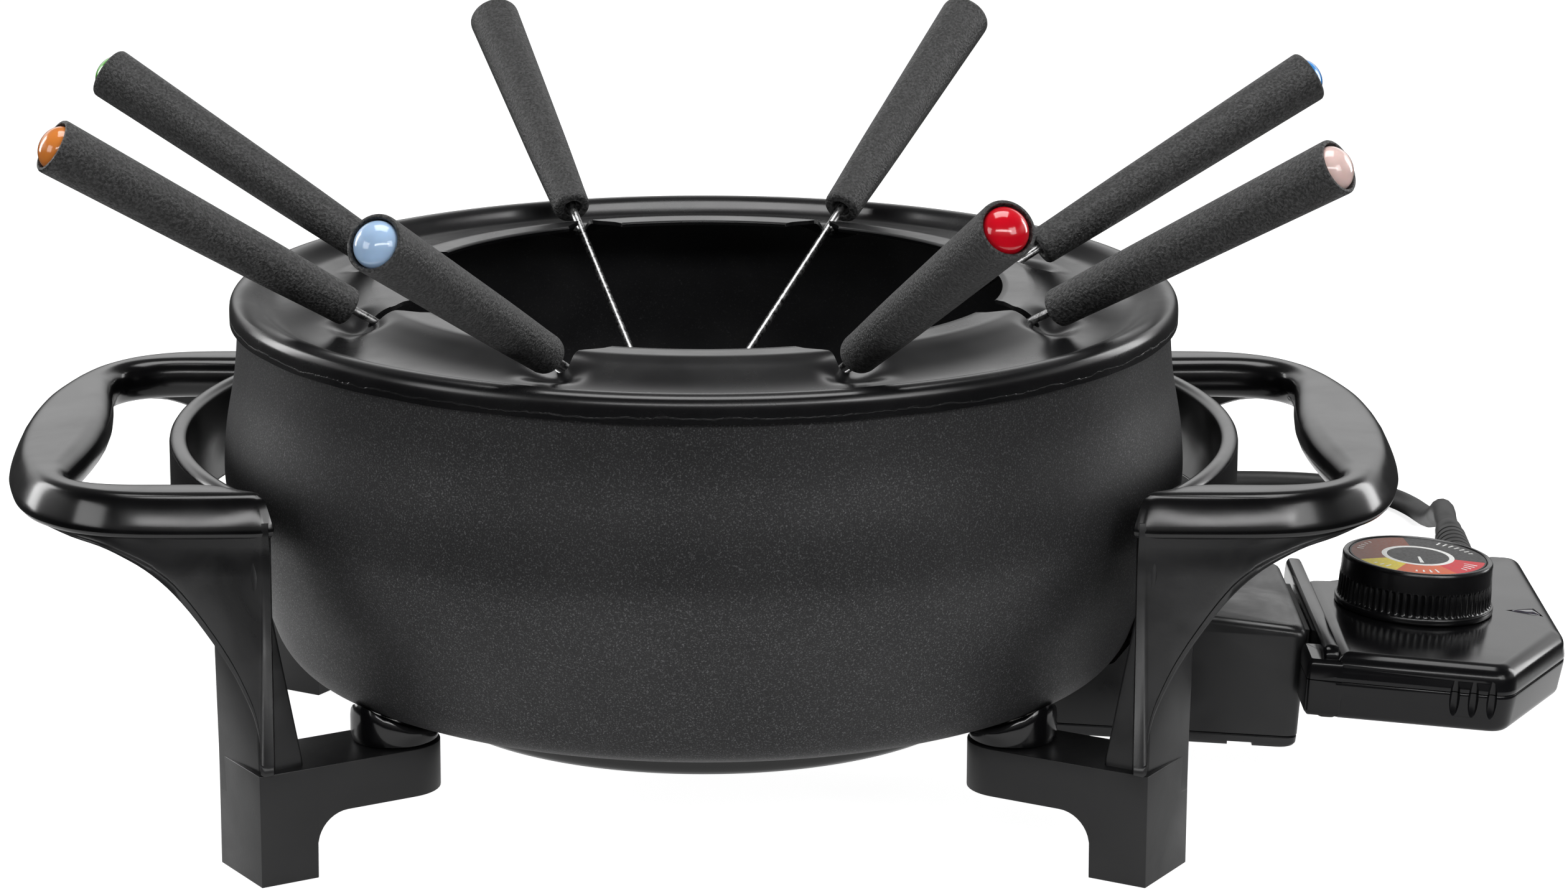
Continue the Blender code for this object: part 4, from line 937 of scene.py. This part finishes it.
# ---------- plinth
PAN_PROFILE = [(0, 21.9), (67.5, 21.9), (69.0, 23.1), (69.0, 29.2), (69.3, 29.3), (69.8, 29.3), (70.0, 29.1),
               (70.0, 27.1), (69.65, 26.9), (69.65, 26.5), (70.0, 26.3), (70.0, 23.4), (69.6, 22.2),
               (68.6, 21.2), (67.2, 20.9), (55, 20.9), (54, 21.15), (52, 21.15), (51, 20.9), (30, 20.9),
               (29, 21.15), (27, 21.15), (26, 20.9), (0, 20.9)]
pan = link("plinth_pan", lathe_mesh(PAN_PROFILE, 192), PAN)
boolean(pan, prism([(60, -14), (80, -14), (80, 14), (60, 14)], 22.4, 40.0))
shade(pan.data, 38)
stand_for(pan, "base", "plinth_enamel", "base_cover")

# ---------- socket housing
SOCKET_X, SOCKET_HALF, SOCKET_WALL = (85.0, 147.0), (19.0, 31.5), 2.5


def socket_half(x):
    """Half width of the tapered housing."""
    (x0, x1), (half0, half1) = SOCKET_X, SOCKET_HALF
    return half0 + (half1 - half0) * (x - x0) / (x1 - x0)


def socket_loop(z, lean, shrink_by=0.0, x0=SOCKET_X[0], top_slope=False):
    """Plan outline with rounded outer corners at height z."""
    end = SOCKET_X[1] - lean - shrink_by
    a, b = socket_half(x0) - shrink_by, socket_half(end) - shrink_by
    outline = round_corners([(x0, -a), (end, -b), (end, b), (x0, a)], [0.6, 3.2, 3.2, 0.6], 6)
    return [(x, y, z - (x - 122.0) * 0.072 if top_slope else z) for x, y in outline]


housing_loops = [socket_loop(18.5, 2.0), socket_loop(19.2, 1.95), socket_loop(43.6, 0.25)]
for k in range(1, 7):                                # soft upper edge
    t = radians(15 * k)
    housing_loops.append(socket_loop(45.4 + 2.2 * sin(t), 0.35, 2.2 * (1 - cos(t)), top_slope=True))
housing = link("socket_shell", loft_mesh(housing_loops), SOCKET)
cavity = loft_mesh([socket_loop(15.0, 2.0, SOCKET_WALL, 80.0), socket_loop(42.0, 0.4, SOCKET_WALL, 80.0),
                    socket_loop(44.8, 0.6, SOCKET_WALL + 0.6, 80.0, True)])
boolean(housing, cavity)
SOCKET_CLEAR = [(0, 92), (116.5, 105), (118.6, 92), (119.2, 82), (118.7, 76), (117.2, 70), (114.1, 60),
                (111.1, 52), (108.7, 45), (106.7, 39.7), (103.0, 34.8), (98.1, 32.2), (92, 30.3), (86, 28.7),
                (80, 28.1), (0, 28.1)]                 # room for the pot
boolean(housing, lathe_mesh(SOCKET_CLEAR, 128))
THERMO = Matrix.Translation((147.0 * MM, 0, 36.5 * MM)) @ Matrix.Rotation(radians(3.6), 4, "Y")
mouth = loft_mesh([[(u, v, w) for v, w in ((-21.5, -8.2), (21.5, -8.2), (21.5, 6.8), (-21.5, 6.8))]
                   for u in (-9.0, 6.0)])
boolean(housing, mouth, THERMO)
shade(housing.data, 32)
stand_for(housing, "base", "socket_moulding", "socket_housing")

LID = [(15.5, 2.9, 0.5), (15.8, 2.6, 0.2), (16.4, 2.3), (17.9, 2.1), (18.2, 2.3, 0.2)]
cover = link("socket_lid", loft_mesh([socket_loop(*row) for row in LID]), SOCKET_COVER)
boolean(cover, prism([(128, -40), (134, -40), (134, -20.5), (128, -20.5)], 14, 16.4))
shade(cover.data, 32)
stand_for(cover, "base", "socket_cover_moulding", "socket_cover")

# ---------- thermostat
# in the thermostat's own frame: u outward, v along the socket's face, w up from the pins
CORNERS = [(3.4, -48.0), (45.6, -52.6), (65.0, -16.0), (65.2, 55.0), (56.0, 55.0), (9.5, 21.6), (3.4, 20.6)]
CORNER_R = [1.5, 7.0, 9.0, 7.0, 4.0, 3.0, 1.0]
BODY_BOTTOM, BODY_TOP = -8.2, 8.3
PART_TOP, PART_LOW = 1.5 + 0.12, 1.5 - 0.12              # the two shells' parting edges


def body_loop(w, d):
    radii = [max(0.4, r - d) for r in CORNER_R]
    return [(u, v, w) for u, v in round_corners(inset(CORNERS, d), radii, 8)]


def half_shell(face, part, fillet, flare):
    """Half of the body: parting edge, draughted side and rounded face."""
    s = 1 if face > part else -1
    loops = [body_loop(part, 0.45), body_loop(part, 0.12), body_loop(part + s * 0.25, 0.0),
             body_loop(part + s * 1.0, 0.0)]
    start = face - s * fillet
    for t in (radians(11.25 * k) for k in range(9)):
        loops.append(body_loop(start + s * fillet * sin(t), flare + fillet * (1 - cos(t))))
    return loft_mesh(loops)


def guard_plate(w0, w1):
    """Upright plate between the body and the socket, with rounded rims."""
    rows = []
    for u, g in ((1.2, -1.4), (1.35, -0.7), (1.8, -0.15), (2.4, 0.0), (4.0, 0.0), (4.6, -0.15), (5.05, -0.7),
                 (5.2, -1.4)):
        outline = [(-46.4 - g, w0), (36 + g, w0), (36 + g, w1 + g), (-46.4 - g, w1 + g)]
        rows.append([(u, v, w) for v, w in round_corners(outline, [0.3, 0.3, 3.0, 3.0], 5)])
    return loft_mesh(rows)


def neck(w0, w1):
    """Corner of the body that reaches past the front side of the socket."""
    plan = round_corners([(-2.6, -47.4), (6.0, -48.2), (6.0, -33.2), (-2.6, -33.2)], [1.6, 0.5, 0.5, 0.8], 5)
    levels = ((w0, 0), (w1 - 1.6, 0), (w1 - 0.8, 0.25), (w1, 0.9)) if w1 > PART_TOP \
        else ((w0, 0.8), (w0 + 0.7, 0.2), (w0 + 1.4, 0), (w1, 0))
    return loft_mesh([[(u, v, w) for u, v in inset(plan, d)] for w, d in levels])


upper = link("thermostat_top", half_shell(BODY_TOP, PART_TOP, 4.0, 0.35), SHELL, THERMO)
lower = link("thermostat_bottom", half_shell(BODY_BOTTOM, PART_LOW, 2.6, 0.8), SHELL, THERMO)
LENS_OUTLINE = [(53.0, 0.4), (60.6, -2.8), (59.4, 3.0)]
for shell, addition in ((upper, guard_plate(PART_TOP, 9.4)), (upper, neck(PART_TOP, 6.6)),
                        (lower, guard_plate(-8.0, PART_LOW)), (lower, neck(-7.4, PART_LOW))):
    boolean(shell, addition, THERMO, "UNION")
boolean(upper, prism(circle(29.0, 0, 3.5, 32), 2, 12), THERMO)
boolean(upper, prism(inset(LENS_OUTLINE, -0.35), 4, 12), THERMO)

# three upright grip grooves on the slanted front side, near its outer end
for k in range(3):
    middle = Vector((32.5 + 4.4 * k, -51.3 - 0.46 * k, -0.4))
    rows = []
    for step in range(-9, 10):
        t = step / 10
        size = sqrt(1 - t * t)
        rows.append([(middle.x + 1.25 * size * cos(a), middle.y + 1.15 * size * sin(a),
                      middle.z + 5.6 * t) for a in (tau * i / 20 for i in range(20))])
    for shell in (upper, lower):
        boolean(shell, loft_mesh(rows), THERMO)

for shell in (upper, lower):
    boolean(shell, prism(circle(0, 0, 5.8, 40), -3.0, 22.0), relief_turn)
    shade(shell.data, 34)
stand_for(upper, "thermostat", "thermostat_moulding", "thermostat_upper_shell")
stand_for(lower, "thermostat", "thermostat_lower_moulding", "thermostat_lower_shell")

lens_loops = [[(u, v, w) for u, v in round_corners(inset(LENS_OUTLINE, d), [0.5] * 3, 4)]
              for w, d in ((5.6, 0.0), (8.15, 0.0), (8.4, 0.1), (8.6, 0.45))]
lens = link("pilot_lamp_lens", loft_mesh(lens_loops), LENS, THERMO)
stand_for(lens, "thermostat", "indicator_lens", "indicator_lens")

# ---------- knob and dial
KNOB_TURN = THERMO @ Matrix.Translation((29.0 * MM, 0, 0))
RIBS = 64
KNOB_PROFILE = [(0, 20.2), (16.95, 20.2), (17.1, 20.4), (17.15, 21.1), (17.45, 21.3), (17.95, 21.3),
                (18.35, 21.1), (18.55, 20.7), (18.6, 20.2), (18.7, 16.4), (18.75, 16.1), (18.8, 15.6),
                (18.9, 13.2), (19.0, 10.9), (19.05, 10.4), (19.15, 10.25), (19.5, 10.1), (19.62, 9.85),
                (19.65, 8.9), (19.5, 8.6), (17.0, 8.6), (16.6, 17.6), (5.5, 17.6), (5.5, 9.0), (3.35, 9.0),
                (3.35, 18.6), (0, 18.6)]


def ribs(r, a, z):
    """Fine upright ribs on the lower band of the knob."""
    if 10.6 < z < 16.0 and r > 18.0:
        wave = 0.5 + 0.5 * cos(RIBS * a)
        return r - 0.62 * (1 - wave ** 0.6), z
    return r, z


knob = link("control_knob", lathe_mesh(KNOB_PROFILE, RIBS * 8, ribs), KNOB, KNOB_TURN, smooth=30)
stand_for(knob, "knob", "knob_moulding", "knob")

DIAL_R, DIAL_Z = 16.9, (20.5, 21.1)
# coloured sectors: first degree, last degree, colour
SECTORS = [(95, 204, (0.19, 0.045, 0.017)), (204, 244, (0.75, 0.60, 0.013)), (244, 298, (0.61, 0.10, 0.017)),
           (298, 350, (0.55, 0.007, 0.018)), (350, 455, (0.012, 0.012, 0.012))]


def print_ink(name, colour):
    s = Shade(name, colour, 0.45, spec=0.15)
    grain = s.noise(1400.0, 2.0)
    s.vary(grain, 0.3, 0.7, colour, 0.88, 1.1)
    s.roughness(s.ramp(grain, 0.3, 0.7, 0.28, 0.38))
    return s.mat


inks = [print_ink("dial_ink_%d" % n, colour) for n, (_, _, colour) in enumerate(SECTORS)]
inks += [print_ink("dial_ink_white", (0.78, 0.78, 0.76)), print_ink("dial_ink_black", (0.012, 0.012, 0.012))]
WHITE, BLACK = len(SECTORS), len(SECTORS) + 1
dial_bm = bmesh.new()


def dial_face(ink, *corners):
    """Face of the dial from (radius, angle, height) corners."""
    verts = [dial_bm.verts.new((r * cos(a), r * sin(a), z)) for r, a, z in corners]
    dial_bm.faces.new(verts).material_index = ink


low_z, top_z = DIAL_Z
for degree in range(95, 455, 2):
    a0, a1 = radians(degree), radians(degree + 2)
    sector = next(n for n, (low, high, _) in enumerate(SECTORS) if low <= degree + 1 < high)
    dial_face(BLACK, (0, a0, top_z), (7.7, a0, top_z), (7.7, a1, top_z))
    for r0, r1, ink in ((7.7, 9.0, WHITE), (9.0, 16.5, sector), (16.5, DIAL_R, BLACK)):
        dial_face(ink, (r0, a0, top_z), (r1, a0, top_z), (r1, a1, top_z), (r0, a1, top_z))
    dial_face(BLACK, (DIAL_R, a0, low_z), (DIAL_R, a1, low_z), (DIAL_R, a1, top_z), (DIAL_R, a0, top_z))
    dial_face(BLACK, (0, a0, low_z), (DIAL_R, a1, low_z), (DIAL_R, a0, low_z))
dial = link("dial_print", mesh_of(dial_bm), inks, KNOB_TURN)
stand_for(dial, "knob", "dial_print", "dial_disc")

# plain white marks: strokes of growing length in each sector and a pointer in the middle
marks_bm = bmesh.new()


def mark(r0, r1, degree, half):
    """Thin stroke across the dial between two radii."""
    a = radians(degree)
    out, side = Vector((cos(a), sin(a), 0)), Vector((-sin(a), cos(a), 0))
    loop = [out * r0 - side * half * 0.6, out * r1 - side * half, out * r1 + side * half,
            out * r0 + side * half * 0.6]
    add_loft(marks_bm, [[(p.x, p.y, z) for p in loop] for z in (top_z - 0.1, top_z + 0.05)])


MARK_R = 15.2
for centre, count, reach in ((150, 5, 1.6), (224, 3, 2.2), (271, 4, 2.8), (324, 4, 3.4), (40, 7, 2.4)):
    for n in range(count):
        inner = MARK_R - reach * (0.5 + 0.5 * n / (count - 1))
        mark(inner, MARK_R, centre + 7.0 * (n - 0.5 * (count - 1)), 0.28)
mark(1.0, 6.4, 271, 0.5)
marks = link("dial_marks", mesh_of(marks_bm), inks[WHITE], KNOB_TURN)
stand_for(marks, "knob", "dial_print")

# ---------- carried-over parts
KEPT = {"heating_element": SHEATH, "terminal_pin_1": PLATED, "terminal_pin_2": PLATED, "contact_block": BLOCK,
        "contact_sleeve_1": BRASS, "contact_sleeve_2": BRASS, "probe": PLATED, "thermostat_switch": CERAMIC,
        "knob_shaft": PLATED, "plug_pin_1": PLATED, "plug_pin_2": PLATED}
for corner in CORNER_SIGNS:
    KEPT["screw_" + corner] = SCREW
for node, mat in KEPT.items():
    for slot in bpy.data.objects[node].material_slots:
        slot.material = mat

# ---------- floor, world and lights
FLOOR_HALF, TABLE_R = 12.0, 0.30           # metres


def stage_paper(name, mesh, mat_name, grey, spec, glow):
    """Pale sheet under the object that gives off a little light of its own."""
    obj = bpy.data.objects.new(name, mesh)
    scene.collection.objects.link(obj)
    s = Shade(mat_name, (grey,) * 3, 0.9, spec=spec)
    s.set("Emission Color", (1.0, 1.0, 1.0, 1.0))
    s.set("Emission Strength", glow)
    mesh.materials.append(s.mat)
    return obj


floor_mesh = bpy.data.meshes.new("floor")
FLOOR_CORNERS = [(x * FLOOR_HALF, y * FLOOR_HALF, -0.0002) for x, y in ((-1, -1), (1, -1), (1, 1), (-1, 1))]
floor_mesh.from_pydata(FLOOR_CORNERS, [], [(0, 1, 2, 3)])
floor = stage_paper("floor", floor_mesh, "pale_paper", 0.55, 0.1, 0.75)
floor.visible_glossy = False
floor.visible_diffuse = False

# the part of the pale table that the glossy surfaces mirror
near_bm = bmesh.new()
bmesh.ops.create_circle(near_bm, cap_ends=True, segments=96, radius=TABLE_R)
near_mesh = bpy.data.meshes.new("near_table")
near_bm.to_mesh(near_mesh)
near_bm.free()
near_table = stage_paper("near_table", near_mesh, "near_table_paper", 0.6, 0.0, 0.35)
near_table.location.z = -0.0001
near_table.visible_camera = False
near_table.visible_shadow = False

sky = bpy.data.worlds.new("studio")
scene.world = sky
sky.use_nodes = True
tree = sky.node_tree
background = tree.nodes["Background"]
coords = tree.nodes.new("ShaderNodeTexCoord")
split = tree.nodes.new("ShaderNodeSeparateXYZ")
ramp = tree.nodes.new("ShaderNodeValToRGB")
tree.links.new(coords.outputs["Generated"], split.inputs["Vector"])
tree.links.new(split.outputs["Z"], ramp.inputs["Fac"])
# brightness of the studio by height, and more of it behind the object than in front
elements = ramp.color_ramp.elements
elements[0].position, elements[0].color = 0.0, (0.02, 0.02, 0.02, 1)
elements[1].position, elements[1].color = 0.10, (0.30, 0.30, 0.30, 1)
for position, level in ((0.20, 0.55), (0.33, 0.75), (0.42, 0.30), (0.52, 0.08), (0.80, 0.05)):
    stop = elements.new(position)
    stop.color = (level, level, level, 1)
tree.links.new(ramp.outputs["Color"], background.inputs["Color"])
back_share = tree.nodes.new("ShaderNodeMapRange")
tree.links.new(split.outputs["Y"], back_share.inputs["Value"])
for socket, value in (("From Min", -0.2), ("From Max", 0.5), ("To Min", 0.4), ("To Max", 1.9)):
    back_share.inputs[socket].default_value = value
tree.links.new(back_share.outputs["Result"], background.inputs["Strength"])


def softbox(name, place, target, size, power):
    """Area light in metres and watts, turned toward a point."""
    data = bpy.data.lights.new(name, "AREA")
    data.shape = "RECTANGLE"
    data.size, data.size_y = size
    data.energy = power
    light = bpy.data.objects.new(name, data)
    scene.collection.objects.link(light)
    light.location = place
    light.rotation_euler = (Vector(target) - Vector(place)).to_track_quat("-Z", "Y").to_euler()


softbox("key_front", (0.15, -1.5, 0.85), (0, 0, 0.08), (2.0, 0.20), 11.0)
softbox("key_right", (1.0, -1.0, 0.7), (0.02, 0, 0.08), (0.6, 0.6), 5.0)
softbox("fill_left", (-1.3, -0.75, 0.55), (0, 0, 0.08), (0.6, 0.6), 4.0)
softbox("top", (0.0, 0.15, 1.4), (0, 0, 0.1), (1.0, 0.8), 13.0)
softbox("rim_left", (-1.3, 0.7, 0.45), (0, 0, 0.08), (0.4, 0.8), 6.0)
softbox("rim_right", (1.3, 0.7, 0.45), (0, 0, 0.08), (0.4, 0.8), 6.0)
scene.view_settings.view_transform = "Standard"

bpy.context.view_layer.update()
